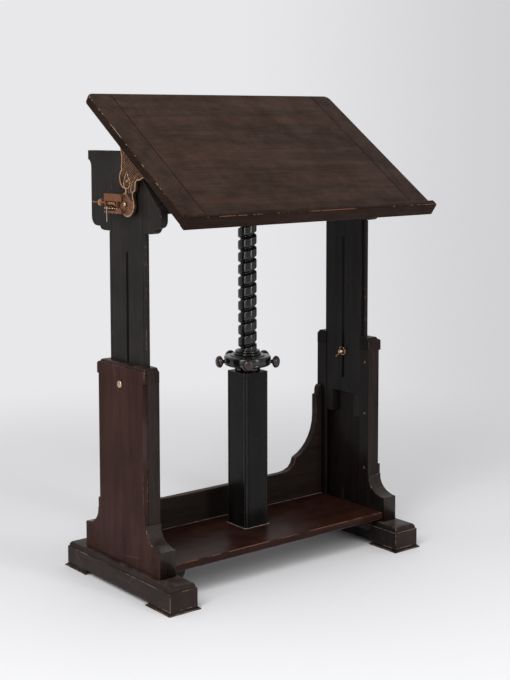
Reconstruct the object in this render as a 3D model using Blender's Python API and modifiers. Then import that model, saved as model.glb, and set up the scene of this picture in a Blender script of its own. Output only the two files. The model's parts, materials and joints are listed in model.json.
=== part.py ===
"""Adjustable reading lectern in dark stained wood.

Two sledge feet carry hollow uprights in which slotted boards slide. A wooden screw, turned by a capstan nut
on the centre post, lifts the boards. The desk tilts on cast brackets, each held by a sprung brake plunger.
Metres, +Z up, front towards -Y, origin on the floor under the middle of the whole lectern.
"""
import math

import bmesh
import bpy
from mathutils import Matrix, Vector

# Clearances
FIT = 0.0003
SLIDE_FIT = 0.0005
THREAD_FIT = 0.0008

# Sledge feet
PAD_WIDTH = 0.096
PAD_LENGTH = 0.105
PAD_HEIGHT = 0.009
BAR_WIDTH = 0.0835
BAR_LENGTH = 0.4745
FOOT_TOP = 0.0675
FOOT_MOULD_HEIGHT = 0.0135
FOOT_MOULD_INSET = 0.0115

# Hollow uprights
CASE_THICKNESS = 0.047
CASE_DEPTH = 0.216
CASE_TOP = 0.583
PANEL_SKIN = 0.010
LIP_THICKNESS = 0.009
CORNER_CHAMFER = 0.0075
CHAMFER_STOP = 0.0265
CAP_HEIGHT = 0.0375
CAP_MOULD_HEIGHT = 0.012
CAP_MOULD_INSET = 0.0145
FLARE_REACH = 0.064
FLARE_BLOCK_HEIGHT = 0.068
FLARE_RISE = 0.046
FLARE_FILLET = 0.0035
FLARE_FILLET_HEIGHT = 0.007

# Sliding boards and their heads
BOARD_SET_BACK = 0.003
BOARD_THICKNESS = 0.0177
BOARD_WIDTH = 0.140
BOARD_FOOT = 0.103
BOARD_NOTCH_HEIGHT = 0.064
BOARD_LEG_WIDTH = 0.026
RUNNER_WIDTH = 0.012
SLOT_CLEARANCE = 0.00125
SLOT_BELOW_CLAMP = 0.078
SLOT_TOP = 0.868
WING_THICKNESS = 0.0217
WING_BOTTOM = 0.915
HEAD_TOP = 1.1205
HEAD_FLAT_FRONT = 0.040
FRONT_WING_REACH = 0.079
FRONT_WING_LOBE = 0.018
FRONT_WING_NOSE = 0.062
FRONT_WING_CORNER = 0.020
FRONT_WING_CHAMFER = 0.004
BACK_WING_REACH = 0.096
BACK_WING_FLARE = 0.0145
BACK_WING_BAND = 0.024
BACK_WING_COVE = 0.020
BACK_WING_LOBE = 0.010
BACK_WING_CORNER = 0.024

# Cross pieces
SHELF_TOP = 0.0955
SHELF_THICKNESS = 0.020
SHELF_FRONT = 0.168
BEARER_WIDTH = 0.033
BEARER_HEIGHT = 0.032
BEARER_LENGTH = 0.230
STRETCHER_THICKNESS = 0.019
STRETCHER_SET_IN = 0.001
STRETCHER_TOP = 0.178
BRACKET_HEIGHT = 0.243
BRACKET_REACH = 0.158
BRACKET_STEM = 0.022
BRACKET_EAR = 0.0137
BRACKET_EAR_HEIGHT = 0.029
RAIL_BOTTOM = 0.960
RAIL_HEIGHT = 0.060
RAIL_DEPTH = 0.070

# Centre post, screw and capstan nut
POST_WIDTH = 0.0796
POST_Y = -0.010
POST_TOP = 0.5195
POST_BEAD = 0.0048
POST_BORE_CLEARANCE = 0.0026
SCREW_RADIUS = 0.0254
THREAD_DEPTH = 0.0068
THREAD_PITCH = 0.0330
THREAD_PHASE = 0.0065
GROOVE_HALF_WIDTH = 0.0055
GROOVE_ROOT_HALF_WIDTH = 0.0013
SCREW_BOTTOM = 0.402
SPIGOT_RADIUS = 0.016
SPIGOT_LENGTH = 0.038
NUT_RADIUS = 0.0615
NUT_NECK_WALL = 0.0096
NUT_NECK_HEIGHT = 0.0145
NUT_RING_HEIGHT = 0.027
NUT_COLLAR_WALL = 0.0090
NUT_COLLAR_HEIGHT = 0.0155
KNOB_COUNT = 5
KNOB_RADIUS = 0.0165
KNOB_NECK_LENGTH = 0.009
KNOB_HEAD_LENGTH = 0.019
KNOB_DOWEL_RADIUS = 0.0042
KNOB_DOWEL_LENGTH = 0.012
FIRST_KNOB_ANGLE = math.radians(233.0)

# Desk, set out from its hub: along the slope, and square to it
HUB_Y = -0.018
HUB_Z = 0.988
DESK_TILT = math.radians(35.5)
DESK_WIDTH = 0.834
DESK_OVERHANG = 0.0325
DESK_THICKNESS = 0.025
DESK_RISE = 0.118
DESK_FRONT = 0.229
DESK_BACK = 0.282
CLEAT_WIDTH = 0.070
DESK_ROUNDING = 0.004
DESK_CORNER = 0.018
LEDGE_THICKNESS = 0.019
LEDGE_LIP = 0.012
LEDGE_ROUNDING = 0.005

# Tilt fittings on the outside of each head
DISC_RADIUS = 0.025
DISC_THICKNESS = 0.0150
BRACKET_PLATE = 0.0085
BRACKET_STEP = 0.0083
BRACKET_HUB_RADIUS = 0.0315
BRACKET_HUB_LEAD = 0.0085
BRACKET_ARM = 0.117
BRACKET_HEEL = 0.036
LOBE_RADIUS = 0.0275
LOBE_PLACE = 0.037
LOBE_RISE = 0.0545
PIVOT_RADIUS = 0.004
PIVOT_HEAD_RADIUS = 0.0058
PIVOT_HEAD_HEIGHT = 0.0045
HOUSING_BASE = 0.0022
HOUSING_DEPTH = 0.024
HOUSING_HALF = 0.0245
HOUSING_FLANGE = 0.005
HOUSING_WALL = 0.0045
HOUSING_WALL_FOOT = 0.006
HOUSING_LENGTH = 0.057
HOUSING_LUG = 0.004
HOUSING_HUB_GAP = 0.004
HOUSING_ARM = 0.0055
HOUSING_ARM_TIP = 0.009
HOUSING_ARM_FOOT = 0.012
PLUNGER_CLEARANCE = 0.0008
PLUNGER_RADIUS = 0.0035
PLUNGER_COLLAR_RADIUS = 0.0074
PLUNGER_COLLAR_PLACE = 0.0215
PLUNGER_COLLAR_LENGTH = 0.004
PLUNGER_KNOB_PLACE = 0.0915
PLUNGER_KNOB_RADIUS = 0.0095
PLUNGER_KNOB_LENGTH = 0.006
PLUNGER_TAIL_RADIUS = 0.002
PLUNGER_LENGTH = 0.1355
SPRING_RADIUS = 0.0057
SPRING_WIRE_RADIUS = 0.0008
SPRING_CURLS = 9

# Clamp bolts
CLAMP_Y = 0.001
CLAMP_DROP = 0.052
CLAMP_RADIUS = 0.004
CLAMP_HEAD_RADIUS = 0.0095
CLAMP_HEAD_HEIGHT = 0.004
WING_NUT_RADIUS = 0.008
WING_NUT_HEIGHT = 0.011
WING_NUT_SPAN = 0.020
WING_NUT_LEAF = 0.0035
WING_NUT_RISE = 0.009
WING_NUT_TURN = math.radians(30.0)
WASHER_RADIUS = 0.0115
WASHER_THICKNESS = 0.0016
CLAMP_END = 0.003

# Facets of round pieces
THREAD_STEPS = 20
ROUND_STEPS = 24
SMALL_STEPS = 14
CORNER_STEPS = 5
CURL_STEPS = 9

# Places that follow from the sizes above
SIDES = {"left": -1, "right": 1}
ENDS = {"front": -1, "back": 1}
FOOT_SPACING = DESK_WIDTH - 2 * DESK_OVERHANG
CASE_IN = FOOT_SPACING / 2 - CASE_THICKNESS / 2
CASE_OUT = CASE_IN + CASE_THICKNESS
CASE_HALF = CASE_DEPTH / 2
BOARD_IN = CASE_IN + BOARD_SET_BACK
BOARD_OUT = BOARD_IN + BOARD_THICKNESS
BOARD_HALF = BOARD_WIDTH / 2
RUNNER_EDGE = BOARD_HALF + FIT + RUNNER_WIDTH
JAMB_WALL = RUNNER_EDGE + SLIDE_FIT
CAP_BOTTOM = CASE_TOP - CAP_HEIGHT
FLARE_HOLLOW_TOP = FOOT_TOP + FLARE_BLOCK_HEIGHT + FLARE_RISE
FLARE_TOP = FLARE_HOLLOW_TOP + FLARE_FILLET_HEIGHT
STRETCHER_BACK = CASE_HALF - STRETCHER_SET_IN
STRETCHER_FRONT = STRETCHER_BACK - STRETCHER_THICKNESS
SHELF_BOTTOM = SHELF_TOP - SHELF_THICKNESS
DESK_TOP = DESK_RISE + DESK_THICKNESS
CLAMP_Z = CASE_TOP - CLAMP_DROP
SLOT_BOTTOM = CLAMP_Z - SLOT_BELOW_CLAMP
BOARD_BOTTOM = SLOT_BOTTOM - BOARD_FOOT
SLOT_HALF = CLAMP_RADIUS + SLOT_CLEARANCE
FRONT_SHOULDER = WING_BOTTOM + FRONT_WING_NOSE + FRONT_WING_REACH - FRONT_WING_CHAMFER
THREAD_START = SCREW_BOTTOM + THREAD_PHASE - 2 * THREAD_PITCH
POST_BORE_RADIUS = SCREW_RADIUS + POST_BORE_CLEARANCE
NUT_NECK_RADIUS = SCREW_RADIUS + NUT_NECK_WALL
NUT_COLLAR_RADIUS = SCREW_RADIUS + NUT_COLLAR_WALL
NUT_BOTTOM = POST_TOP + FIT
NUT_TOP = NUT_BOTTOM + NUT_NECK_HEIGHT + NUT_RING_HEIGHT + NUT_COLLAR_HEIGHT
FITTING_IN = BOARD_OUT + SLIDE_FIT
LEDGE_FRONT = DESK_FRONT + FIT + LEDGE_THICKNESS
PLUNGER_AXIS = BOARD_OUT + PLUNGER_KNOB_RADIUS + PLUNGER_CLEARANCE
PLUNGER_TIP = HUB_Y + DISC_RADIUS + SLIDE_FIT
HOUSING_FRONT = HUB_Y + DISC_RADIUS + HOUSING_HUB_GAP
LEDGE_NOSE = LEDGE_FRONT - LEDGE_ROUNDING
LEDGE_CREST = DESK_TOP + LEDGE_LIP - LEDGE_ROUNDING
FRONT_MOST = HUB_Y - LEDGE_NOSE * math.cos(DESK_TILT) - LEDGE_CREST * math.sin(DESK_TILT) - LEDGE_ROUNDING
FOOT_HALF = (BAR_LENGTH + PAD_WIDTH - BAR_WIDTH) / 2
STAND_Y = -(FRONT_MOST + FOOT_HALF) / 2

# Directions in which a flat outline is laid before it is extruded
PLAN = Matrix.Identity(4)
SIDEWAYS = Matrix(((0, 0, 1, 0), (1, 0, 0, 0), (0, 1, 0, 0), (0, 0, 0, 1)))
FACING = Matrix(((1, 0, 0, 0), (0, 0, -1, 0), (0, 1, 0, 0), (0, 0, 0, 1)))
ALONG_Y = Matrix.Rotation(-math.pi / 2, 4, "X")
ALONG_X = Matrix.Rotation(math.pi / 2, 4, "Y")

COLOURS = {
    "brown_wood": ((0.045, 0.026, 0.022), 0.45, 0.0),
    "black_wood": ((0.020, 0.017, 0.016), 0.45, 0.0),
    "turned_wood": ((0.018, 0.017, 0.017), 0.25, 0.0),
    "shelf_wood": ((0.040, 0.016, 0.011), 0.25, 0.0),
    "desk_wood": ((0.055, 0.032, 0.023), 0.40, 0.0),
    "cast_iron": ((0.160, 0.085, 0.050), 0.60, 0.7),
    "rusted_iron": ((0.300, 0.115, 0.040), 0.65, 0.6),
    "spring_steel": ((0.450, 0.360, 0.280), 0.35, 1.0),
    "brass": ((0.560, 0.400, 0.190), 0.35, 1.0),
}


def clear_scene():
    for item in list(bpy.data.objects):
        bpy.data.objects.remove(item, do_unlink=True)


def new_collection(name):
    collection = bpy.data.collections.new(name)
    bpy.context.scene.collection.children.link(collection)
    return collection


def new_material(name):
    colour, roughness, metallic = COLOURS[name]
    material = bpy.data.materials.new(name)
    material.use_nodes = True
    shader = material.node_tree.nodes["Principled BSDF"]
    shader.inputs["Base Color"].default_value = (*colour, 1.0)
    shader.inputs["Roughness"].default_value = roughness
    shader.inputs["Metallic"].default_value = metallic
    return material


clear_scene()
PARTS = new_collection("reading_lectern")
CUTTERS = new_collection("cutters")
MATERIALS = {name: new_material(name) for name in COLOURS}


def new_empty(name, location, parent=None, tilt=0.0):
    empty = bpy.data.objects.new(name, None)
    empty.location = location
    empty.rotation_euler = (tilt, 0.0, 0.0)
    empty.parent = parent
    PARTS.objects.link(empty)
    return empty


STAND = new_empty("stand_frame", (0.0, STAND_Y, 0.0))
LIFT = new_empty("lift_frame", (0.0, 0.0, 0.0), STAND)
SCREW_AXIS = new_empty("screw_axis", (0.0, POST_Y, 0.0), LIFT)
NUT_AXIS = new_empty("nut_axis", (0.0, POST_Y, 0.0), STAND)
DESK_PIVOT = new_empty("desk_pivot", (0.0, HUB_Y, HUB_Z), LIFT, DESK_TILT)


def add_part(name, mesh, material, parent=STAND, smooth=False):
    part = bpy.data.objects.new(name, mesh)
    mesh.name = name
    mesh.materials.clear()
    mesh.materials.append(MATERIALS[material])
    part.parent = parent
    PARTS.objects.link(part)
    if smooth:
        mesh.shade_smooth()
        mesh.set_sharp_from_angle(angle=math.radians(35))
    return part


def combine(part, mesh, operation="DIFFERENCE"):
    """Cut a mesh out of a part, join it on or keep what they share, in the part's own frame."""
    tool = bpy.data.objects.new(part.name + "_tool", mesh)
    tool.parent = part.parent
    tool.hide_render = True
    tool.display_type = "WIRE"
    CUTTERS.objects.link(tool)
    modifier = part.modifiers.new(operation.lower(), "BOOLEAN")
    modifier.operation = operation
    modifier.object = tool


def as_mesh(data, prepare=None):
    """The evaluated mesh of a curve or of a mesh with modifiers, welded, closed and facing out."""
    holder = bpy.data.objects.new("holder", data)
    bpy.context.scene.collection.objects.link(holder)
    if prepare:
        prepare(holder)
    graph = bpy.context.evaluated_depsgraph_get()
    mesh = bpy.data.meshes.new_from_object(holder.evaluated_get(graph))
    bpy.data.objects.remove(holder, do_unlink=True)
    form = bmesh.new()
    form.from_mesh(mesh)
    bmesh.ops.remove_doubles(form, verts=form.verts, dist=0.00001)
    edges = [edge for edge in form.edges if edge.is_boundary]
    if edges:
        closing = bmesh.ops.holes_fill(form, edges=edges)
        bmesh.ops.poke(form, faces=closing["faces"])
    bmesh.ops.recalc_face_normals(form, faces=form.faces)
    form.to_mesh(mesh)
    form.free()
    return mesh


def finish(form):
    mesh = bpy.data.meshes.new("form")
    form.to_mesh(mesh)
    form.free()
    return mesh


def round_edges(form, edges, rounding, segments):
    bmesh.ops.bevel(
        form, geom=edges, offset=rounding, segments=segments, profile=0.5, affect="EDGES", clamp_overlap=True
    )


def block(low, high, rounding=0.0, rounded=None, segments=2):
    """A box between two corners, with the edges that the test picks out rounded."""
    low, high = Vector(map(min, low, high)), Vector(map(max, low, high))
    form = bmesh.new()
    size = Matrix.Diagonal((*(high - low), 1.0))
    bmesh.ops.create_cube(form, size=1.0, matrix=Matrix.Translation((low + high) / 2) @ size)
    if rounding:
        picked = [edge for edge in form.edges if rounded is None or rounded(edge, low, high)]
        round_edges(form, picked, rounding, segments)
    return finish(form)


def ease(mesh, rounding, picked, segments=2):
    """Round the edges of a mesh that the test picks out."""
    form = bmesh.new()
    form.from_mesh(mesh)
    round_edges(form, [edge for edge in form.edges if picked(edge)], rounding, segments)
    form.to_mesh(mesh)
    form.free()
    return mesh


def moulded_block(low, high, steps):
    """A box whose top is drawn in by steps, each an inset and a rise."""
    low, high = Vector(map(min, low, high)), Vector(map(max, low, high))
    form = bmesh.new()
    size = Matrix.Diagonal((*(high - low), 1.0))
    bmesh.ops.create_cube(form, size=1.0, matrix=Matrix.Translation((low + high) / 2) @ size)
    top = max(form.faces, key=lambda face: face.calc_center_median().z)
    for inset, rise in steps:
        bmesh.ops.inset_individual(form, faces=[top], thickness=inset, depth=rise, use_even_offset=True)
    return finish(form)


def outline(loops, start, end, direction=PLAN):
    """A flat outline with any holes, extruded from start to end along its direction."""
    curve = bpy.data.curves.new("outline", "CURVE")
    curve.dimensions = "2D"
    curve.fill_mode = "BOTH"
    curve.extrude = abs(end - start) / 2
    for loop in loops:
        spline = curve.splines.new("POLY")
        spline.points.add(len(loop) - 1)
        for point, (across, up) in zip(spline.points, loop):
            point.co = (across, up, 0.0, 1.0)
        spline.use_cyclic_u = True
    mesh = as_mesh(curve)
    mesh.transform(direction @ Matrix.Translation((0.0, 0.0, (start + end) / 2)))
    return mesh


def turned(profile, steps=ROUND_STEPS, closed=False, place=PLAN):
    """A profile of radius and height, run from the top down, turned about its axis."""
    edges = [(i, i + 1) for i in range(len(profile) - 1)]
    if closed:
        edges.append((len(profile) - 1, 0))
    mesh = bpy.data.meshes.new("profile")
    mesh.from_pydata([(radius, 0.0, height) for radius, height in profile], edges, [])

    def turn(holder):
        screw = holder.modifiers.new("turn", "SCREW")
        screw.steps = steps
        screw.render_steps = steps
        screw.use_merge_vertices = True
        screw.merge_threshold = 0.00001

    mesh = as_mesh(mesh, turn)
    mesh.transform(place)
    return mesh


def thread(crest, root, half_width, root_half_width, start, turns):
    """A right-hand threaded rod: one pitch of its profile, from the top down, swept up a screw line."""
    profile = [
        (crest, start + THREAD_PITCH - half_width), (crest, start + half_width),
        (root, start + root_half_width), (root, start - root_half_width), (crest, start - half_width),
    ]
    mesh = bpy.data.meshes.new("thread")
    edges = [(i, i + 1) for i in range(len(profile) - 1)]
    mesh.from_pydata([(radius, 0.0, height) for radius, height in profile], edges, [])

    def climb(holder):
        screw = holder.modifiers.new("climb", "SCREW")
        screw.steps = THREAD_STEPS
        screw.render_steps = THREAD_STEPS
        screw.screw_offset = THREAD_PITCH
        screw.iterations = turns

    return as_mesh(mesh, climb)


def cylinder(radius, start, end, direction=PLAN, steps=ROUND_STEPS):
    low, high = min(start, end), max(start, end)
    profile = [(0.0, high), (radius, high), (radius, low), (0.0, low)]
    return turned(profile, steps, place=direction)


def arc(centre, radii, start, end, count):
    """Points on an ellipse between two angles in degrees."""
    points = []
    for i in range(count + 1):
        angle = math.radians(start + (end - start) * i / count)
        points.append((centre[0] + radii[0] * math.cos(angle), centre[1] + radii[1] * math.sin(angle)))
    return points


def circle(centre, radius, steps=SMALL_STEPS):
    return arc(centre, (radius, radius), 0.0, 360.0 - 360.0 / steps, steps - 1)


def mirrored(points, sign):
    """The same points, with the first coordinate on the given side."""
    return [(sign * across, up) for across, up in points]


def make_foot(side, sign):
    middle = sign * FOOT_SPACING / 2
    straight_top = FOOT_TOP - FOOT_MOULD_HEIGHT
    low = (middle - BAR_WIDTH / 2, -BAR_LENGTH / 2, PAD_HEIGHT + FIT)
    high = (middle + BAR_WIDTH / 2, BAR_LENGTH / 2, straight_top)
    hollow = [
        (FOOT_MOULD_INSET * 0.25, FOOT_MOULD_HEIGHT * 0.02),
        (FOOT_MOULD_INSET * 0.05, FOOT_MOULD_HEIGHT * 0.30),
        (FOOT_MOULD_INSET * 0.10, FOOT_MOULD_HEIGHT * 0.30),
        (FOOT_MOULD_INSET * 0.25, FOOT_MOULD_HEIGHT * 0.26),
        (FOOT_MOULD_INSET * 0.35, FOOT_MOULD_HEIGHT * 0.12),
    ]
    add_part(f"{side}_foot_bar", moulded_block(low, high, hollow), "brown_wood")
    flare = (PAD_WIDTH - BAR_WIDTH) / 2
    rise = PAD_HEIGHT * 0.30
    for end, way in ENDS.items():
        tip = way * FOOT_HALF
        low = (middle - PAD_WIDTH / 2, tip, 0.0)
        high = (middle + PAD_WIDTH / 2, tip - way * PAD_LENGTH, rise)
        spread = [(flare * 0.60, rise * 0.60), (flare * 0.30, rise * 0.80)]
        spread += [(flare * 0.10, PAD_HEIGHT - rise * 2.4)]
        add_part(f"{side}_{end}_foot_pad", moulded_block(low, high, spread), "brown_wood")


def make_upright(side, sign):
    base = FOOT_TOP + FIT
    top = CAP_BOTTOM - FIT
    core_in = BOARD_OUT + SLIDE_FIT
    skin_in = CASE_OUT - PANEL_SKIN
    core_edge = JAMB_WALL - FIT
    panel = [
        (core_in, -core_edge), (skin_in, -core_edge), (skin_in, -CASE_HALF), (CASE_OUT, -CASE_HALF),
        (CASE_OUT, CASE_HALF), (skin_in, CASE_HALF), (skin_in, core_edge), (core_in, core_edge),
    ]
    part = add_part(f"{side}_outer_panel", outline([mirrored(panel, sign)], base, top), "brown_wood")
    hole_ends = sign * (CASE_IN - CASE_THICKNESS), sign * (CASE_OUT + CASE_THICKNESS)
    combine(part, cylinder(CLAMP_RADIUS + FIT, *hole_ends, clamp_place(), SMALL_STEPS))
    edge_in = CASE_OUT - 2 * CORNER_CHAMFER
    edge_out = CASE_OUT + CORNER_CHAMFER
    wedge = [
        (edge_in, CASE_HALF + CORNER_CHAMFER), (edge_out, CASE_HALF - 2 * CORNER_CHAMFER),
        (edge_out, CASE_HALF + CORNER_CHAMFER),
    ]
    for way in ENDS.values():
        loop = [(sign * x, way * y) for x, y in wedge]
        combine(part, outline([loop], FLARE_TOP + CHAMFER_STOP, CASE_TOP))
    lip_in = BOARD_HALF + SLIDE_FIT
    lip_out = CASE_IN + LIP_THICKNESS
    jamb_out = skin_in - FIT
    for end, way in ENDS.items():
        jamb = [
            (CASE_IN, lip_in), (lip_out, lip_in), (lip_out, JAMB_WALL), (jamb_out, JAMB_WALL),
            (jamb_out, CASE_HALF), (CASE_IN, CASE_HALF),
        ]
        loop = [(sign * x, way * y) for x, y in jamb]
        add_part(f"{side}_{end}_jamb", outline([loop], base, top), "black_wood")
        make_flare(side, sign, end, way, base)
    make_cap(side, sign)


def make_flare(side, sign, end, way, base):
    near = CASE_HALF + FIT
    far = CASE_HALF + FLARE_REACH
    fillet = CASE_HALF + FLARE_FILLET
    loop = [(near, base), (far, base)]
    loop += arc((far, FLARE_HOLLOW_TOP), (far - fillet, FLARE_RISE), -90.0, -180.0, 7)
    loop += [(fillet, FLARE_TOP), (near, FLARE_TOP)]
    mesh = outline([mirrored(loop, way)], sign * CASE_IN, sign * CASE_OUT, SIDEWAYS)
    add_part(f"{side}_{end}_flare_block", mesh, "brown_wood")


def make_cap(side, sign):
    """A moulded cap, open on the inner side where the sliding board passes."""
    extra = CASE_THICKNESS
    low = (sign * (CASE_IN - extra), -CASE_HALF, CAP_BOTTOM)
    high = (sign * CASE_OUT, CASE_HALF, CASE_TOP - CAP_MOULD_HEIGHT)
    ovolo = ((0.06, 0.22), (0.14, 0.18), (0.20, 0.08), (0.06, 0.02))
    upper_round = ((0.02, 0.16), (0.08, 0.16), (0.20, 0.13), (0.24, 0.05))
    round_over = [(CAP_MOULD_INSET * inset, CAP_MOULD_HEIGHT * rise) for inset, rise in ovolo + upper_round]
    part = add_part(f"{side}_upright_cap", moulded_block(low, high, round_over), "brown_wood")
    wide = CASE_DEPTH
    passage = BOARD_HALF + SLIDE_FIT
    half = [
        (CASE_IN - 2 * extra, wide), (CASE_IN, wide), (CASE_IN, passage), (CASE_IN + LIP_THICKNESS, passage),
        (CASE_IN + LIP_THICKNESS, JAMB_WALL), (BOARD_OUT + SLIDE_FIT, JAMB_WALL),
    ]
    loop = half + [(x, -y) for x, y in reversed(half)]
    combine(part, outline([mirrored(loop, sign)], CAP_BOTTOM - extra, CASE_TOP + extra))


def make_cross_pieces():
    end = CASE_IN - FIT
    low = (-end, -SHELF_FRONT, SHELF_BOTTOM)
    high = (end, STRETCHER_FRONT - FIT, SHELF_TOP)

    def front_edges(edge, low, high):
        return all(abs(vertex.co.y - low.y) < FIT for vertex in edge.verts) and (
            abs(edge.verts[0].co.z - edge.verts[1].co.z) < FIT
        )

    shelf = block(low, high, SHELF_THICKNESS * 0.15, front_edges)
    add_part("shelf", shelf, "shelf_wood")
    bar_in = FOOT_SPACING / 2 - BAR_WIDTH / 2 - FIT
    top = SHELF_BOTTOM - FIT
    back = STRETCHER_FRONT - FIT
    for side, sign in SIDES.items():
        curve = BEARER_HEIGHT * 0.7
        centre = (bar_in - BEARER_WIDTH + curve, top - BEARER_HEIGHT + curve)
        loop = [(bar_in, top), (bar_in, top - BEARER_HEIGHT)]
        loop += arc(centre, (curve, curve), -90.0, -180.0, 4) + [(bar_in - BEARER_WIDTH, top)]
        mesh = outline([mirrored(loop, sign)], -back, BEARER_LENGTH - back, FACING)
        add_part(f"{side}_shelf_bearer", mesh, "black_wood")
    make_stretcher(end)


def make_stretcher(end):
    """The back board, swept up at each end into a curved bracket with a rounded ear."""
    foot = end - BRACKET_REACH
    shoulder = end - BRACKET_REACH * 0.54
    stem = end - BRACKET_STEM
    top = STRETCHER_TOP + BRACKET_HEIGHT
    ear_base = top - BRACKET_EAR_HEIGHT
    step = STRETCHER_TOP + BRACKET_HEIGHT * 0.15
    fillet = BRACKET_REACH * 0.025
    cove = step - 3 * fillet
    sweep = (BRACKET_REACH * 0.72, BRACKET_HEIGHT * 0.51)
    half = [(foot, STRETCHER_TOP)]
    half += arc((foot, cove), (shoulder - foot - 5.5 * fillet, cove - STRETCHER_TOP), -90.0, -10.0, 3)[1:]
    half += [(shoulder - 4.5 * fillet, step - fillet)]
    half += arc((stem - sweep[0], STRETCHER_TOP + BRACKET_HEIGHT * 0.64), sweep, -72.0, 0.0, 7)
    half += [(stem, ear_base), (end - BRACKET_EAR, ear_base + fillet / 2)]
    crown = BRACKET_EAR_HEIGHT * 0.6
    half += arc((end, top - crown), (BRACKET_EAR, crown), 180.0, 90.0, 4)
    half += [(end, SHELF_BOTTOM)]
    loop = half + [(-across, up) for across, up in reversed(half)]
    mesh = outline([loop], -STRETCHER_BACK, -STRETCHER_FRONT, FACING)
    add_part("rear_stretcher", mesh, "black_wood")


def make_post():
    """A square post, its corners worked with a bead, bored for the screw."""
    half = POST_WIDTH / 2
    quirk = POST_BEAD * 0.35
    corner = [
        (half - 2 * POST_BEAD - quirk, -half), (half - 2 * POST_BEAD - quirk / 2, -half + quirk),
        (half - 2 * POST_BEAD, -half), (half - POST_BEAD, -half),
        (half - POST_BEAD * 0.3, -half + POST_BEAD * 0.3),
        (half, -half + POST_BEAD), (half, -half + 2 * POST_BEAD),
        (half - quirk, -half + 2 * POST_BEAD + quirk / 2), (half, -half + 2 * POST_BEAD + quirk),
    ]
    loop = []
    for quarter in range(4):
        turn = Matrix.Rotation(quarter * math.pi / 2, 2)
        loop += [tuple(turn @ Vector(point)) for point in corner]
    bore = circle((0.0, 0.0), POST_BORE_RADIUS, ROUND_STEPS)
    mesh = outline([loop, bore], SHELF_TOP + FIT, POST_TOP)
    mesh.transform(Matrix.Translation((0.0, POST_Y, 0.0)))
    add_part("centre_post", mesh, "black_wood")


def make_screw():
    root = SCREW_RADIUS - THREAD_DEPTH
    shoulder = RAIL_BOTTOM - FIT
    spigot_top = shoulder + SPIGOT_LENGTH
    turns = math.ceil((shoulder - THREAD_START) / THREAD_PITCH) + 1
    rod = thread(SCREW_RADIUS, root, GROOVE_HALF_WIDTH, GROOVE_ROOT_HALF_WIDTH, THREAD_START, turns)
    part = add_part("screw_spindle", rod, "turned_wood", SCREW_AXIS, smooth=True)
    span = 2 * SCREW_RADIUS
    combine(part, block((-span, -span, SCREW_BOTTOM), (span, span, shoulder)), "INTERSECT")
    combine(part, cylinder(SPIGOT_RADIUS, shoulder - SPIGOT_LENGTH, spigot_top), "UNION")
    end = BOARD_IN - FIT
    low = (-end, POST_Y - RAIL_DEPTH / 2, RAIL_BOTTOM)
    high = (end, POST_Y + RAIL_DEPTH / 2, RAIL_BOTTOM + RAIL_HEIGHT)
    rail = add_part("cross_rail", block(low, high), "black_wood", LIFT)
    bore = cylinder(SPIGOT_RADIUS + FIT, RAIL_BOTTOM - SPIGOT_LENGTH, spigot_top + FIT)
    bore.transform(Matrix.Translation((0.0, POST_Y, 0.0)))
    combine(rail, bore)


def make_nut():
    """The capstan nut: a turned ring with a threaded bore and five knobs pegged into its rim."""
    ring_bottom = NUT_BOTTOM + NUT_NECK_HEIGHT
    ring_top = ring_bottom + NUT_RING_HEIGHT
    blank = SCREW_RADIUS - THREAD_DEPTH - THREAD_FIT
    edge = NUT_RING_HEIGHT * 0.16
    groove = NUT_RADIUS * 0.05
    step = NUT_COLLAR_HEIGHT * 0.22
    profile = [
        (blank, NUT_TOP), (NUT_COLLAR_RADIUS - edge, NUT_TOP), (NUT_COLLAR_RADIUS, NUT_TOP - edge),
        (NUT_COLLAR_RADIUS, ring_top + step), (NUT_RADIUS * 0.74, ring_top + step),
        (NUT_RADIUS * 0.78, ring_top), (NUT_RADIUS - edge, ring_top), (NUT_RADIUS, ring_top - edge),
        (NUT_RADIUS, ring_bottom + edge * 2.2), (NUT_RADIUS - groove, ring_bottom + edge * 1.8),
        (NUT_RADIUS - groove, ring_bottom + edge), (NUT_RADIUS - groove * 2.5, ring_bottom),
        (NUT_NECK_RADIUS, ring_bottom - edge), (NUT_NECK_RADIUS, NUT_BOTTOM), (blank, NUT_BOTTOM),
    ]
    ring = turned(profile, ROUND_STEPS, closed=True)
    part = add_part("capstan_nut", ring, "turned_wood", NUT_AXIS, smooth=True)
    turns_below = math.floor((NUT_BOTTOM - THREAD_START) / THREAD_PITCH) - 1
    start = THREAD_START + turns_below * THREAD_PITCH
    turns = math.ceil((NUT_TOP - start) / THREAD_PITCH) + 1
    former = thread(
        SCREW_RADIUS + THREAD_FIT, SCREW_RADIUS - THREAD_DEPTH + THREAD_FIT, GROOVE_HALF_WIDTH - THREAD_FIT,
        GROOVE_ROOT_HALF_WIDTH - THREAD_FIT, start, turns,
    )
    combine(part, former)
    height = (ring_bottom + ring_top) / 2
    for i in range(KNOB_COUNT):
        angle = FIRST_KNOB_ANGLE + 2 * math.pi * i / KNOB_COUNT
        place = Matrix.Translation((0.0, 0.0, height)) @ Matrix.Rotation(angle, 4, "Z") @ ALONG_X
        socket_ends = NUT_RADIUS - KNOB_DOWEL_LENGTH - FIT, NUT_RADIUS + KNOB_DOWEL_LENGTH
        combine(part, cylinder(KNOB_DOWEL_RADIUS + FIT, *socket_ends, place, SMALL_STEPS))
        knob = turned(knob_profile(), SMALL_STEPS, place=place)
        add_part(f"nut_knob_{i + 1}", knob, "turned_wood", NUT_AXIS, smooth=True)


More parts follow.
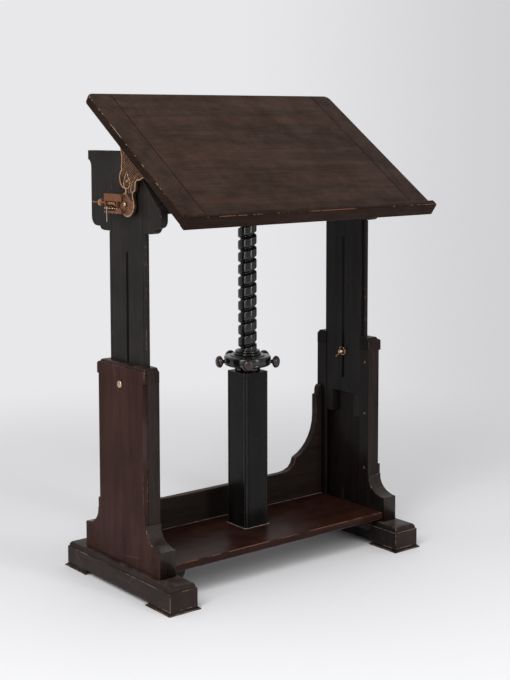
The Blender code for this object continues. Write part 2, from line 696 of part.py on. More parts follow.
def knob_profile():
    neck_in = NUT_RADIUS + FIT
    head_in = neck_in + KNOB_NECK_LENGTH
    head_out = head_in + KNOB_HEAD_LENGTH
    waist = KNOB_DOWEL_RADIUS * 1.2
    return [
        (0.0, head_out), (KNOB_RADIUS * 0.62, head_out - KNOB_HEAD_LENGTH * 0.10),
        (KNOB_RADIUS * 0.94, head_out - KNOB_HEAD_LENGTH * 0.32),
        (KNOB_RADIUS, head_out - KNOB_HEAD_LENGTH * 0.50),
        (KNOB_RADIUS * 0.86, head_in + KNOB_HEAD_LENGTH * 0.22), (waist * 1.2, head_in),
        (waist, neck_in + KNOB_NECK_LENGTH * 0.5), (waist * 1.4, neck_in),
        (KNOB_DOWEL_RADIUS, neck_in), (KNOB_DOWEL_RADIUS, NUT_RADIUS - KNOB_DOWEL_LENGTH),
        (0.0, NUT_RADIUS - KNOB_DOWEL_LENGTH),
    ]


def make_slide(side, sign):
    leg = BOARD_HALF - BOARD_LEG_WIDTH
    notch = BOARD_BOTTOM + BOARD_NOTCH_HEIGHT
    board = [
        (-BOARD_HALF, BOARD_BOTTOM), (-leg, BOARD_BOTTOM), (-leg, notch), (leg, notch), (leg, BOARD_BOTTOM),
        (BOARD_HALF, BOARD_BOTTOM), (BOARD_HALF, HEAD_TOP), (HEAD_FLAT_FRONT, HEAD_TOP),
        (-BOARD_HALF, FRONT_SHOULDER),
    ]
    slot = arc((CLAMP_Y, SLOT_TOP - SLOT_HALF), (SLOT_HALF, SLOT_HALF), 0.0, 180.0, 6)
    slot += arc((CLAMP_Y, SLOT_BOTTOM + SLOT_HALF), (SLOT_HALF, SLOT_HALF), 180.0, 360.0, 6)
    hole = circle((HUB_Y, HUB_Z), PIVOT_RADIUS + FIT)
    mesh = outline([board, slot, hole], sign * BOARD_IN, sign * BOARD_OUT, SIDEWAYS)
    add_part(f"{side}_slide_board", mesh, "black_wood", LIFT)
    runner_in = CASE_IN + LIP_THICKNESS + SLIDE_FIT
    for end, way in ENDS.items():
        low = (sign * runner_in, way * (BOARD_HALF + FIT), BOARD_BOTTOM)
        high = (sign * BOARD_OUT, way * RUNNER_EDGE, WING_BOTTOM - FIT)
        add_part(f"{side}_{end}_runner", block(low, high), "black_wood", LIFT)
    wing_in = BOARD_OUT - WING_THICKNESS
    for end, loop in (("front", front_wing()), ("back", back_wing())):
        mesh = outline([loop], sign * wing_in, sign * BOARD_OUT, SIDEWAYS)
        add_part(f"{side}_{end}_wing", mesh, "black_wood", LIFT)


def front_wing():
    """A lobed wing whose upper edge slopes back to clear the desk."""
    seam = -(BOARD_HALF + FIT)
    tip = seam - FRONT_WING_REACH
    corner = FRONT_WING_CORNER
    lobe = WING_BOTTOM + FRONT_WING_LOBE
    nose = WING_BOTTOM + FRONT_WING_NOSE
    scallop = (FRONT_WING_REACH * 0.30, FRONT_WING_LOBE * 0.78)
    loop = [(seam, WING_BOTTOM)]
    middle = (seam - FRONT_WING_REACH * 0.38, WING_BOTTOM + FRONT_WING_LOBE * 0.89)
    loop += arc(middle, scallop, -90.0, -170.0, 4)
    loop += [(tip + corner, lobe)]
    loop += arc((tip + corner, lobe + corner), (corner, corner), -100.0, -180.0, 4)
    loop += [(tip, nose - 2 * FRONT_WING_CHAMFER), (tip + FRONT_WING_CHAMFER, nose), (seam, FRONT_SHOULDER)]
    return loop


def back_wing():
    """A wing with a flared band at the top, a cove below it and a lobed lower corner."""
    seam = BOARD_HALF + FIT
    tip = seam + BACK_WING_REACH
    corner = BACK_WING_CORNER
    flare = tip + BACK_WING_FLARE
    band = HEAD_TOP - BACK_WING_BAND
    lobe = WING_BOTTOM + BACK_WING_LOBE
    scallop = corner * 0.75
    loop = [(seam, HEAD_TOP), (flare, HEAD_TOP), (flare, band)]
    loop += arc((flare, band - BACK_WING_COVE), (BACK_WING_FLARE, BACK_WING_COVE), 110.0, 180.0, 3)
    loop += arc((tip - corner, lobe + corner), (corner, corner), 0.0, -80.0, 4)
    loop += arc((tip - corner - 1.9 * scallop, lobe), (scallop, BACK_WING_LOBE), 0.0, -90.0, 3)
    loop += [(seam, WING_BOTTOM)]
    return loop


def make_desk():
    """Panel, end cleats and ledge, drawn along the slope and square to it."""
    seam = DESK_WIDTH / 2 - CLEAT_WIDTH

    def back_edge(edge, low, high):
        return all(abs(vertex.co.y - high.y) < FIT for vertex in edge.verts) and (
            abs(edge.verts[0].co.x - edge.verts[1].co.x) > FIT
        )

    low = (-seam + FIT / 2, -DESK_FRONT, DESK_RISE)
    high = (seam - FIT / 2, DESK_BACK, DESK_TOP)
    add_part("desk_panel", block(low, high, DESK_ROUNDING, back_edge), "desk_wood", DESK_PIVOT)
    for side, sign in SIDES.items():
        inner, outer = sign * (seam + FIT / 2), sign * DESK_WIDTH / 2

        def corner(edge, low, high, outer=outer):
            return all(
                abs(vertex.co.x - outer) < FIT and abs(vertex.co.y - high.y) < FIT for vertex in edge.verts
            )

        def rim(edge, inner=inner):
            first, last = (vertex.co for vertex in edge.verts)
            at_seam = abs(first.x - inner) < FIT and abs(last.x - inner) < FIT
            at_front = abs(first.y + DESK_FRONT) < FIT and abs(last.y + DESK_FRONT) < FIT
            return abs(first.z - last.z) < FIT and not at_seam and not at_front

        low = (inner, -DESK_FRONT, DESK_RISE)
        high = (outer, DESK_BACK, DESK_TOP)
        cleat = ease(block(low, high, DESK_CORNER, corner, CORNER_STEPS), DESK_ROUNDING, rim)
        add_part(f"{side}_desk_cleat", cleat, "desk_wood", DESK_PIVOT)

    def lip_edges(edge, low, high):
        return all(abs(vertex.co.z - high.z) < FIT for vertex in edge.verts)

    low = (-DESK_WIDTH / 2, -LEDGE_FRONT, DESK_RISE)
    high = (DESK_WIDTH / 2, -DESK_FRONT - FIT, DESK_TOP + LEDGE_LIP)
    add_part("desk_ledge", block(low, high, LEDGE_ROUNDING, lip_edges), "desk_wood", DESK_PIVOT)


def make_tilt_bracket(side, sign):
    """A leaf-shaped plate from the desk down to a round hub that turns on the pivot."""
    top = DESK_RISE - FIT
    hub_centre = (-BRACKET_HUB_LEAD * math.cos(DESK_TILT), BRACKET_HUB_LEAD * math.sin(DESK_TILT))
    leaf = [(BRACKET_ARM, top), (BRACKET_ARM * 0.70, top * 0.75), (BRACKET_ARM * 0.645, top * 0.67)]
    leaf += [(BRACKET_ARM * 0.605, top * 0.586)]
    leaf += arc((LOBE_PLACE, LOBE_RISE), (LOBE_RADIUS, LOBE_RADIUS), 12.0, -122.0, 7)
    hub = arc(hub_centre, (BRACKET_HUB_RADIUS, BRACKET_HUB_RADIUS), 44.0, -250.0, 16)
    tongue = [(-BRACKET_HEEL * 0.33, top * 0.378), (-BRACKET_HEEL * 0.36, top * 0.408)]
    tongue += [(-BRACKET_HEEL * 0.444, top * 0.45), (-BRACKET_HEEL * 0.40, top * 0.50)]
    neck = [(-BRACKET_HEEL * 0.17, top * 0.614), (-BRACKET_HEEL * 0.49, top * 0.754), (-BRACKET_HEEL, top)]
    loop = leaf + hub + tongue + neck
    plate_in = FITTING_IN + BRACKET_STEP
    plate = outline([loop], sign * plate_in, sign * (plate_in + BRACKET_PLATE), SIDEWAYS)
    part = add_part(f"{side}_tilt_bracket", plate, "cast_iron", DESK_PIVOT)
    disc = cylinder(DISC_RADIUS, sign * FITTING_IN, sign * (FITTING_IN + DISC_THICKNESS), ALONG_X)
    combine(part, disc, "UNION")
    bore_in = sign * (FITTING_IN - DISC_THICKNESS)
    bore_out = sign * (FITTING_IN + 2 * DISC_THICKNESS)
    combine(part, cylinder(PIVOT_RADIUS + FIT, bore_in, bore_out, ALONG_X, SMALL_STEPS))
    outer = FITTING_IN + BRACKET_STEP + BRACKET_PLATE + FIT
    head = [
        (0.0, outer + PIVOT_HEAD_HEIGHT), (PIVOT_HEAD_RADIUS * 0.6, outer + PIVOT_HEAD_HEIGHT * 0.85),
        (PIVOT_HEAD_RADIUS, outer + PIVOT_HEAD_HEIGHT * 0.35), (PIVOT_HEAD_RADIUS, outer),
        (PIVOT_RADIUS, outer), (PIVOT_RADIUS, BOARD_IN + FIT), (0.0, BOARD_IN + FIT),
    ]
    place = Matrix.Translation((0.0, HUB_Y, HUB_Z)) @ Matrix.Rotation(sign * math.pi / 2, 4, "Y")
    add_part(f"{side}_pivot_bolt", turned(head, SMALL_STEPS, place=place), "cast_iron", LIFT, True)


def make_brake(side, sign):
    """Housing, sprung plunger and spring that press on the rim of the hub."""
    base_in = BOARD_OUT + FIT
    axis = PLUNGER_AXIS
    base_out = base_in + HOUSING_BASE
    face = base_in + HOUSING_DEPTH
    wall = face - HOUSING_WALL
    reach = HOUSING_HALF
    bay = reach - HOUSING_FLANGE
    channel = [
        (base_in, -reach), (face, -reach), (face, -bay), (base_out, -bay), (base_out, bay), (wall, bay),
        (wall, HOUSING_WALL_FOOT), (face, HOUSING_WALL_FOOT), (face, reach), (base_in, reach),
    ]
    loop = [(sign * x, HUB_Z + z) for x, z in channel]
    back = HOUSING_FRONT + HOUSING_LENGTH
    casting = outline([loop], -back, -HOUSING_FRONT, FACING)
    part = add_part(f"{side}_brake_housing", casting, "rusted_iron", LIFT)
    lug_half = PLUNGER_RADIUS * 2.6
    for place in (HOUSING_FRONT, back - HOUSING_LUG):
        low = (sign * (base_out - FIT), place, HUB_Z - lug_half)
        high = (sign * (wall + HOUSING_WALL / 2), place + HOUSING_LUG, HUB_Z + bay + FIT)
        combine(part, block(low, high), "UNION")
    for foot, head in ((HOUSING_WALL_FOOT, reach), (-reach, -HOUSING_ARM_FOOT)):
        low = (sign * (face - HOUSING_ARM), HUB_Y + HOUSING_ARM_TIP, HUB_Z + foot + FIT)
        high = (sign * (face - FIT), HOUSING_FRONT + HOUSING_LUG, HUB_Z + head - FIT)
        combine(part, block(low, high), "UNION")
    bore_ends = HOUSING_FRONT - HOUSING_LENGTH, back + HOUSING_LENGTH
    bore = cylinder(PLUNGER_RADIUS + FIT, *bore_ends, ALONG_Y, SMALL_STEPS)
    bore.transform(Matrix.Translation((sign * axis, 0.0, HUB_Z)))
    combine(part, bore)
    pull = new_empty(f"{side}_plunger_axis", (sign * axis, PLUNGER_TIP, HUB_Z), LIFT)
    collar = PLUNGER_COLLAR_PLACE
    collar_end = collar + PLUNGER_COLLAR_LENGTH
    knob = PLUNGER_KNOB_PLACE
    knob_end = knob + PLUNGER_KNOB_LENGTH
    rim = PLUNGER_KNOB_LENGTH * 0.25
    profile = [
        (0.0, PLUNGER_LENGTH), (PLUNGER_TAIL_RADIUS, PLUNGER_LENGTH), (PLUNGER_TAIL_RADIUS, knob_end),
        (PLUNGER_KNOB_RADIUS - rim, knob_end), (PLUNGER_KNOB_RADIUS, knob_end - rim),
        (PLUNGER_KNOB_RADIUS, knob + rim), (PLUNGER_KNOB_RADIUS - rim, knob), (PLUNGER_RADIUS, knob),
        (PLUNGER_RADIUS, collar_end), (PLUNGER_COLLAR_RADIUS, collar_end), (PLUNGER_COLLAR_RADIUS, collar),
        (PLUNGER_RADIUS, collar), (PLUNGER_RADIUS, 0.0), (0.0, 0.0),
    ]
    add_part(f"{side}_plunger", turned(profile, SMALL_STEPS, place=ALONG_Y), "rusted_iron", pull, True)
    start = PLUNGER_TIP + collar_end + FIT
    end = back - HOUSING_LUG - FIT
    make_spring(side, (sign * axis, HUB_Z), start, end)


def spring_points(start, end):
    """Centre line of the coil along its axis, its ends turned straight for one wire thickness."""
    straight = 2 * SPRING_WIRE_RADIUS
    first, last = start + straight, end - straight
    count = SPRING_CURLS * CURL_STEPS
    points = [(SPRING_RADIUS, 0.0, start)]
    for i in range(count + 1):
        angle = 2 * math.pi * SPRING_CURLS * i / count
        along = first + (last - first) * i / count
        points.append((SPRING_RADIUS * math.cos(angle), SPRING_RADIUS * math.sin(angle), along))
    points.append((points[-1][0], points[-1][1], end))
    return points


def least_self_gap(points, skip):
    """Least distance between the surfaces of turns that are not neighbours along the wire."""
    centres = [Vector(point) for point in points]
    spans = [
        (centres[i] - centres[j]).length
        for i in range(len(centres)) for j in range(i + skip, len(centres))
    ]
    return min(spans) - 2 * SPRING_WIRE_RADIUS


def make_spring(side, axis, start, end):
    points = spring_points(start, end)
    print(side, "spring least gap to itself mm", round(least_self_gap(points, 5) * 1000, 2))
    curve = bpy.data.curves.new("coil", "CURVE")
    curve.dimensions = "3D"
    curve.bevel_depth = SPRING_WIRE_RADIUS
    curve.bevel_resolution = 1
    curve.use_fill_caps = True
    spline = curve.splines.new("POLY")
    spline.points.add(len(points) - 1)
    for point, place in zip(spline.points, points):
        point.co = (*place, 1.0)
    mesh = as_mesh(curve)
    mesh.transform(Matrix.Translation((axis[0], 0.0, axis[1])) @ ALONG_Y)
    add_part(f"{side}_plunger_spring", mesh, "spring_steel", LIFT, True)


def clamp_place():
    return Matrix.Translation((0.0, CLAMP_Y, CLAMP_Z)) @ ALONG_X


def make_clamp(side, sign):
    """A bolt through panel and slot, with a washer and wing nut on the inner face of the board."""
    turn = Matrix.Translation((0.0, CLAMP_Y, CLAMP_Z)) @ Matrix.Rotation(sign * math.pi / 2, 4, "Y")
    head = CASE_OUT + FIT
    nut_out = BOARD_IN - FIT
    nut_in = nut_out - WASHER_THICKNESS - WING_NUT_HEIGHT
    profile = [
        (0.0, head + CLAMP_HEAD_HEIGHT), (CLAMP_HEAD_RADIUS * 0.75, head + CLAMP_HEAD_HEIGHT),
        (CLAMP_HEAD_RADIUS, head + CLAMP_HEAD_HEIGHT * 0.5), (CLAMP_HEAD_RADIUS, head), (CLAMP_RADIUS, head),
        (CLAMP_RADIUS, nut_in - CLAMP_END), (0.0, nut_in - CLAMP_END),
    ]
    add_part(f"{side}_clamp_bolt", turned(profile, SMALL_STEPS, place=turn), "brass", STAND, True)
    axis = new_empty(f"{side}_wing_nut_axis", (sign * nut_out, CLAMP_Y, CLAMP_Z), STAND)
    washer_in = -WASHER_THICKNESS
    boss_in = -WASHER_THICKNESS - WING_NUT_HEIGHT
    bore = CLAMP_RADIUS + FIT
    profile = [
        (bore, 0.0), (WASHER_RADIUS, 0.0), (WASHER_RADIUS, washer_in), (WING_NUT_RADIUS, washer_in),
        (WING_NUT_RADIUS * 0.8, boss_in), (bore, boss_in),
    ]
    spin = Matrix.Rotation(sign * math.pi / 2, 4, "Y")
    part = add_part(f"{side}_wing_nut", turned(profile, SMALL_STEPS, True, spin), "brass", axis, True)
    inner = bore + (WING_NUT_RADIUS * 0.8 - bore) * 0.4
    leaf = [(inner, boss_in + WING_NUT_HEIGHT * 0.15), (inner, washer_in - WING_NUT_HEIGHT * 0.25)]
    leaf += arc(
        (WING_NUT_SPAN * 0.72, boss_in - WING_NUT_RISE * 0.30), (WING_NUT_SPAN * 0.28, WING_NUT_RISE * 0.7),
        50.0, -160.0, 7,
    )
    for way in ENDS.values():
        loop = [(way * out, height) for out, height in leaf]
        mesh = outline([loop], -WING_NUT_LEAF / 2, WING_NUT_LEAF / 2)
        mesh.transform(Matrix(((0, sign, 0, 0), (0, 0, sign, 0), (1, 0, 0, 0), (0, 0, 0, 1))))
        mesh.transform(Matrix.Rotation(WING_NUT_TURN, 4, "X"))
        combine(part, mesh, "UNION")


for side_name, side_sign in SIDES.items():
    make_foot(side_name, side_sign)
    make_upright(side_name, side_sign)
    make_slide(side_name, side_sign)
    make_tilt_bracket(side_name, side_sign)
    make_brake(side_name, side_sign)
    make_clamp(side_name, side_sign)
make_cross_pieces()
make_post()
make_screw()
make_nut()
make_desk()
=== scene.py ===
"""Finish of an adjustable reading lectern: stained wood, a turned screw, rusty castings and brass clamps."""

import json
import math

import bmesh
import bpy
from bpy.props import FloatProperty, FloatVectorProperty, IntProperty, PointerProperty
from mathutils import Matrix, Vector
from mathutils.geometry import delaunay_2d_cdt, intersect_point_line

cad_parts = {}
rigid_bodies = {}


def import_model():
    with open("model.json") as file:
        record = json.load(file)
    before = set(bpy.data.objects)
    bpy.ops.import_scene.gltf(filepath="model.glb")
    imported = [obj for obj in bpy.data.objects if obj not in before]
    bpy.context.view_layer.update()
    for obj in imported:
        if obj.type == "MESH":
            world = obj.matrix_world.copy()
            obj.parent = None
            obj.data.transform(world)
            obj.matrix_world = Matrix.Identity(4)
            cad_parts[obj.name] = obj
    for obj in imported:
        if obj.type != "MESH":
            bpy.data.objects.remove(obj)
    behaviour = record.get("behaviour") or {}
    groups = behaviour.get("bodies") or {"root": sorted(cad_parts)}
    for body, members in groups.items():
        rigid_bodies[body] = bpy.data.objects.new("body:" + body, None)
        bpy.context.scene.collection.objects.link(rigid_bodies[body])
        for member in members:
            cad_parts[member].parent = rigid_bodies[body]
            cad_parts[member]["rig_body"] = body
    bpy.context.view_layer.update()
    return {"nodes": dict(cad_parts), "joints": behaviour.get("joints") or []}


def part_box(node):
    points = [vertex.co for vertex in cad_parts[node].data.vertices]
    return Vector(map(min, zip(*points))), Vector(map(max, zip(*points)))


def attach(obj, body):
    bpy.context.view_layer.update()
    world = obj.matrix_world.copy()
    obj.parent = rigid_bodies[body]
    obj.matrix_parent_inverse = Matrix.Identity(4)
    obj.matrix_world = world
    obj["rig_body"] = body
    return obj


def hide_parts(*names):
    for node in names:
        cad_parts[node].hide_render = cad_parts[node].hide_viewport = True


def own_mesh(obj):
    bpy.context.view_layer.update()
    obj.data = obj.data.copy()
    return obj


bl_info = {
    "name": "Reading lectern",
    "version": (1, 0, 0),
    "blender": (4, 5, 0),
    "location": "3D View > Sidebar > Lectern",
    "description": "Dresses the reading lectern in wood, iron and brass and sets up its stage",
    "category": "Object",
}

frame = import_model()
JOINTS = {joint["name"]: joint for joint in frame["joints"]}
HUB = Vector(JOINTS["desk_tilt"]["pos_m"])
NUT_AXIS = Vector(JOINTS["nut_turn"]["pos_m"])
SIDES = {"left": -1, "right": 1}
ENDS = {"front": -1, "back": 1}
DESK_TILT = math.radians(35.5)
ON_NUT_AXIS = Matrix.Translation((NUT_AXIS.x, NUT_AXIS.y, 0.0))
SEAM = 0.0003
STAND_MIDDLE = (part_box("left_outer_panel")[0].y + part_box("left_outer_panel")[1].y) / 2


def colour(label, about, *picture):
    """A colour to choose, given as picture values from 0 to 255."""
    shares = (value / 255 for value in picture)
    default = tuple(v / 12.92 if v <= 0.04045 else ((v + 0.055) / 1.055) ** 2.4 for v in shares)
    return FloatVectorProperty(
        name=label, description=about, subtype="COLOR", size=3, min=0.0, max=1.0, default=default
    )


def length(label, about, default):
    return FloatProperty(name=label, description=about, unit="LENGTH", min=0.0, default=default, precision=5)


def angle(label, about, degrees):
    return FloatProperty(name=label, description=about, subtype="ANGLE", default=math.radians(degrees))


def power(label, about, watts):
    return FloatProperty(name=label, description=about, subtype="POWER", default=watts)


def number(label, about, default):
    return FloatProperty(name=label, description=about, default=default)


class LecternFinishes(bpy.types.PropertyGroup):
    brown_stain: colour("Brown stain", "Outer faces of the uprights", 44, 25, 21)
    brown_light: colour("Brown figure", "Lighter streaks of the uprights", 63, 38, 33)
    foot_stain: colour("Foot stain", "Feet and pads", 38, 28, 26)
    foot_light: colour("Foot figure", "Lighter streaks of the feet", 50, 38, 35)
    front_stain: colour("Front stain", "Front and back faces of the uprights", 29, 22, 20)
    front_light: colour("Front figure", "Lighter streaks of those faces", 48, 38, 36)
    # Inner colours are painted shade: faces that look inwards are darker than the same boards' outer faces.
    inner_shade: colour("Inner stain", "Faces that look in towards the post", 15, 12, 12)
    inner_shade_figure: colour("Inner figure", "Lighter streaks of the inner faces", 30, 25, 23)
    black_stain: colour("Black stain", "Slides and shelf bearers", 31, 28, 27)
    black_light: colour("Black figure", "Lighter streaks of the black wood", 42, 38, 36)
    cross_stain: colour("Cross stain", "Back board and cross rail", 31, 24, 22)
    cross_light: colour("Cross figure", "Lighter streaks of those boards", 45, 36, 32)
    # Deep is the post's own stain, and also painted shade on the slides' inner faces.
    deep_stain_and_inner_shade: colour("Deep stain", "Post and the slides' inner faces", 18, 16, 16)
    deep_figure_and_inner_shade: colour("Deep figure", "Lighter streaks of those faces", 34, 31, 30)
    shelf_stain: colour("Shelf stain", "Polished shelf", 30, 14, 11)
    shelf_light: colour("Shelf figure", "Lighter streaks of the shelf", 52, 26, 19)
    desk_stain: colour("Desk stain", "Desk, cleats and ledge", 38, 23, 17)
    desk_light: colour("Desk figure", "Lighter streaks of the desk", 60, 39, 28)
    turned_stain: colour("Turned stain", "Polished screw and nut", 11, 9, 9)
    turned_light: colour("Turned figure", "Lighter streaks of the screw and nut", 25, 20, 19)
    knob_stain: colour("Knob stain", "Knobs of the nut", 34, 25, 23)
    knob_light: colour("Knob figure", "Lighter streaks of the knobs", 50, 38, 35)
    bare_wood: colour("Bare wood", "Wood that shows where the stain has worn off", 108, 72, 56)
    # Pale edge is wear on the arrises, made pale enough to be also a painted highlight on edges too thin to
    # catch light.
    pale_edge_and_highlight: colour("Pale edge", "Rubbed edges of the desk, uprights and feet", 158, 132, 112)
    # A painted highlight: grey lines laid along the post's corner beads.
    bead_highlight: colour("Dull edge", "Rubbed edges of the post", 84, 79, 77)
    worn_black: colour("Worn black", "Brown that shows through worn black stain", 92, 72, 60)
    iron: colour("Iron", "Cast brackets", 128, 87, 66)
    iron_light: colour("Iron relief", "Rubbed relief of the brackets", 212, 170, 130)
    rust: colour("Rust", "Brake fittings", 138, 90, 62)
    brass: colour("Brass", "Clamp bolts", 190, 178, 152)
    bronze: colour("Bronze", "Wing nuts", 166, 128, 98)
    copper: colour("Screw heads", "Small screws in the woodwork", 72, 50, 42)
    dust: colour("Dust", "Dust that lies on level faces and in joints", 172, 160, 146)
    floor: colour("Floor", "Studio floor", 236, 236, 238)
    backdrop: colour("Backdrop", "Studio background", 232, 232, 234)
    backdrop_shade: colour("Backdrop shade", "Studio background on the right", 208, 208, 210)


class LecternSizes(bpy.types.PropertyGroup):
    arris: length("Arris", "Rounding of the wooden edges", 0.0018)
    panel_arris: length("Panel arris", "Rounding of the side panels' edges", 0.00022)
    fine_arris: length("Fine arris", "Rounding of mouldings and small edges", 0.0008)
    metal_arris: length("Metal arris", "Rounding of the iron edges", 0.0005)
    relief: length("Relief", "Height of the cast ornament", 0.0022)
    relief_step: length("Relief step", "Spacing of the points that carry the ornament", 0.0014)
    screw_head: length("Screw head", "Radius of the small screws' heads", 0.0042)
    spring_wire: length("Spring wire", "Radius of the brake springs' wire", 0.0008)
    spring_curls: IntProperty(name="Spring curls", description="Turns of each brake spring", min=3, default=9)
    pin_length: length("Pin length", "Loose pin that hangs from each brake plunger", 0.038)
    round_steps: IntProperty(name="Round steps", description="Facets of turned pieces", min=12, default=64)


class LecternStage(bpy.types.PropertyGroup):
    azimuth: angle("Azimuth", "Camera, left of the front", 37.171)
    elevation: angle("Elevation", "Camera above the level", 5.262)
    roll: angle("Roll", "Camera turn", -0.292)
    distance: length("Distance", "From the camera to its target", 3.4341)
    target: FloatVectorProperty(
        name="Target", description="Point the camera faces", subtype="TRANSLATION",
        default=(-0.13183, STAND_MIDDLE, 0.86954),
    )
    lens: number("Lens", "Focal length in millimetres", 68.89)
    shift_x: number("Shift across", "Lens shift as a share of the picture", 0.072)
    shift_y: number("Shift up", "Lens shift as a share of the picture", -0.14)
    key_power: power("Key light", "Soft light on the left", 41.0)
    fill_power: power("Fill light", "Soft light on the right", 12.0)
    top_power: power("Top light", "Soft light from above", 8.0)
    left_strip_power: power("Left strip", "Tall light mirrored in the screw", 11.0)
    right_strip_power: power("Right strip", "Tall light mirrored in the screw", 14.3)
    ambient: number("Ambient", "Even light from all round", 0.59)


class Nodes:
    """A node tree with short ways to add and join its nodes."""

    def __init__(self, tree):
        self.tree = tree

    def add(self, kind, inputs=None, **settings):
        node = self.tree.nodes.new(kind)
        for key, value in settings.items():
            setattr(node, key, value)
        for key, value in (inputs or {}).items():
            self.feed(node.inputs[key], value)
        return node

    def feed(self, socket, value):
        if isinstance(value, bpy.types.NodeSocket):
            self.tree.links.new(value, socket)
        else:
            socket.default_value = value

    def maths(self, operation, *values):
        return self.add("ShaderNodeMath", dict(enumerate(values)), operation=operation).outputs[0]

    def times(self, first, second):
        return self.maths("MULTIPLY", first, second)

    def vectors(self, operation, *values):
        """The outputs of a sum on vectors: a vector, then a value."""
        return self.add("ShaderNodeVectorMath", dict(enumerate(values)), operation=operation).outputs

    def parts(self, vector):
        """A vector's X, Y and Z."""
        return self.add("ShaderNodeSeparateXYZ", {"Vector": vector}).outputs

    def span(self, value, low, high, start=0.0, end=1.0):
        """A value's place between low and high, eased, as a value between start and end."""
        inputs = dict(enumerate((value, low, high, start, end)))
        return self.add("ShaderNodeMapRange", inputs, interpolation_type="SMOOTHSTEP").outputs["Result"]

    def mix(self, share, first, second):
        """A colour between two others."""
        return self.add("ShaderNodeMix", {0: share, 6: first, 7: second}, data_type="RGBA").outputs[2]

    def noise(self, vector, scale, detail=3.0, roughness=0.55, distortion=0.0):
        inputs = {"Vector": vector, "Scale": scale, "Detail": detail, "Roughness": roughness}
        return self.add("ShaderNodeTexNoise", {**inputs, "Distortion": distortion}).outputs["Fac"]

    def edge(self):
        """The wear that the mesh's points carry."""
        return self.add("ShaderNodeAttribute", attribute_name="edge").outputs["Fac"]

    def normal(self):
        """X, Y and Z of the way a face looks."""
        return self.parts(self.add("ShaderNodeNewGeometry").outputs["True Normal"])

    def group(self, tree, inputs):
        return self.add("ShaderNodeGroup", inputs, node_tree=tree).outputs


def shader_group(name, inputs, outputs, fill):
    """A shared shader effect, built once: fill(nodes, given) returns the outputs' sockets."""
    if name in bpy.data.node_groups:
        return bpy.data.node_groups[name]
    tree = bpy.data.node_groups.new(name, "ShaderNodeTree")
    for label, default in inputs.items():
        kind = "NodeSocketVector" if default is None else "NodeSocketFloat"
        socket = tree.interface.new_socket(label, in_out="INPUT", socket_type=kind)
        if default is not None:
            socket.default_value = default
    for label in outputs:
        tree.interface.new_socket(label, in_out="OUTPUT", socket_type="NodeSocketFloat")
    nodes = Nodes(tree)
    given = nodes.add("NodeGroupInput").outputs
    end = nodes.add("NodeGroupOutput")
    for label, socket in zip(outputs, fill(nodes, given)):
        nodes.feed(end.inputs[label], socket)
    return tree


def grain_group():
    """Figure and pores of straight-grained wood, on a vector already drawn out along the grain."""

    def fill(nodes, given):
        vector, scale = given["Vector"], given["Scale"]
        broad = nodes.noise(vector, scale, 5.0, 0.6, 0.5)
        streaks = nodes.noise(vector, nodes.times(scale, 6.0), 3.0)
        figure = nodes.maths(
            "ADD", nodes.span(broad, 0.32, 0.68, 0.0, 0.62), nodes.span(streaks, 0.35, 0.65, 0.0, 0.38)
        )
        pores = nodes.span(nodes.noise(vector, nodes.times(scale, 17.0), 2.0), 0.56, 0.70)
        return figure, pores

    return shader_group("wood_grain", {"Vector": None, "Scale": 30.0}, ("Figure", "Pores"), fill)


def wear_group():
    """Rubbed-off finish on the edges that the mesh marks; dirt in joints, dirt and painted shade in quirks.
    """

    def fill(nodes, given):
        edge = nodes.edge()
        broad = nodes.noise(given["Vector"], 14.0, 2.0)
        fine = nodes.noise(given["Vector"], 130.0, 3.0)
        coarse, small = nodes.span(broad, 0.30, 0.70, 0.0, 0.6), nodes.span(fine, 0.30, 0.70, 0.0, 0.4)
        broken = nodes.maths("ADD", coarse, small)
        limit = nodes.maths("SUBTRACT", 1.0, given["Amount"])
        reach = nodes.maths("ADD", limit, 0.16)
        rubbed = nodes.times(nodes.span(broken, limit, reach), nodes.span(edge, 0.15, 0.75))
        # Second output: points marked -1, dirt in joints, dirt and painted shade in quirks.
        return rubbed, nodes.span(edge, -0.85, -0.15, 1.0, 0.0)

    return shader_group("edge_wear", {"Vector": None, "Amount": 0.6}, ("Mask", "Dirt_and_shade"), fill)


def marks_group():
    """Fine scratches and the cloudy haze of a handled polish."""

    def fill(nodes, given):
        vector = given["Vector"]
        lines = []
        for turn, stretch in ((0.5, (3.0, 26.0, 3.0)), (2.2, (22.0, 3.0, 5.0))):
            drawn = {"Vector": vector, "Rotation": (turn, turn, turn), "Scale": stretch}
            cells = {"Vector": nodes.add("ShaderNodeMapping", drawn).outputs[0], "Scale": 1.6}
            cracks = nodes.add("ShaderNodeTexVoronoi", cells, feature="DISTANCE_TO_EDGE").outputs["Distance"]
            lines.append(nodes.span(cracks, 0.0, 0.018, 1.0, 0.0))
        sparse = nodes.span(nodes.noise(vector, 7.0, 2.0), 0.52, 0.66)
        scratches = nodes.times(nodes.maths("MAXIMUM", *lines), sparse)
        haze = nodes.span(nodes.noise(vector, 9.0, 4.0, 0.6), 0.35, 0.68)
        return nodes.times(scratches, given["Amount"]), haze

    return shader_group("handling_marks", {"Vector": None, "Amount": 0.5}, ("Scratches", "Haze"), fill)


def dust_group():
    """Dust on faces that look upwards."""

    def fill(nodes, given):
        cloud = nodes.span(nodes.noise(given["Vector"], 26.0, 5.0, 0.65), 0.38, 0.72)
        level = nodes.span(nodes.normal()["Z"], 0.55, 0.95)
        return (nodes.times(nodes.times(cloud, level), given["Amount"]),)

    return shader_group("level_dust", {"Vector": None, "Amount": 0.2}, ("Mask",), fill)


def facing_group():
    """How far a face looks out, from 1 for outwards to -1 for inwards, on either side of the lectern."""

    def fill(nodes, given):
        side = nodes.maths("SIGN", nodes.parts(given["Vector"])["X"])
        return (nodes.times(nodes.normal()["X"], side),)

    return shader_group("facing_out", {"Vector": None}, ("Outward",), fill)


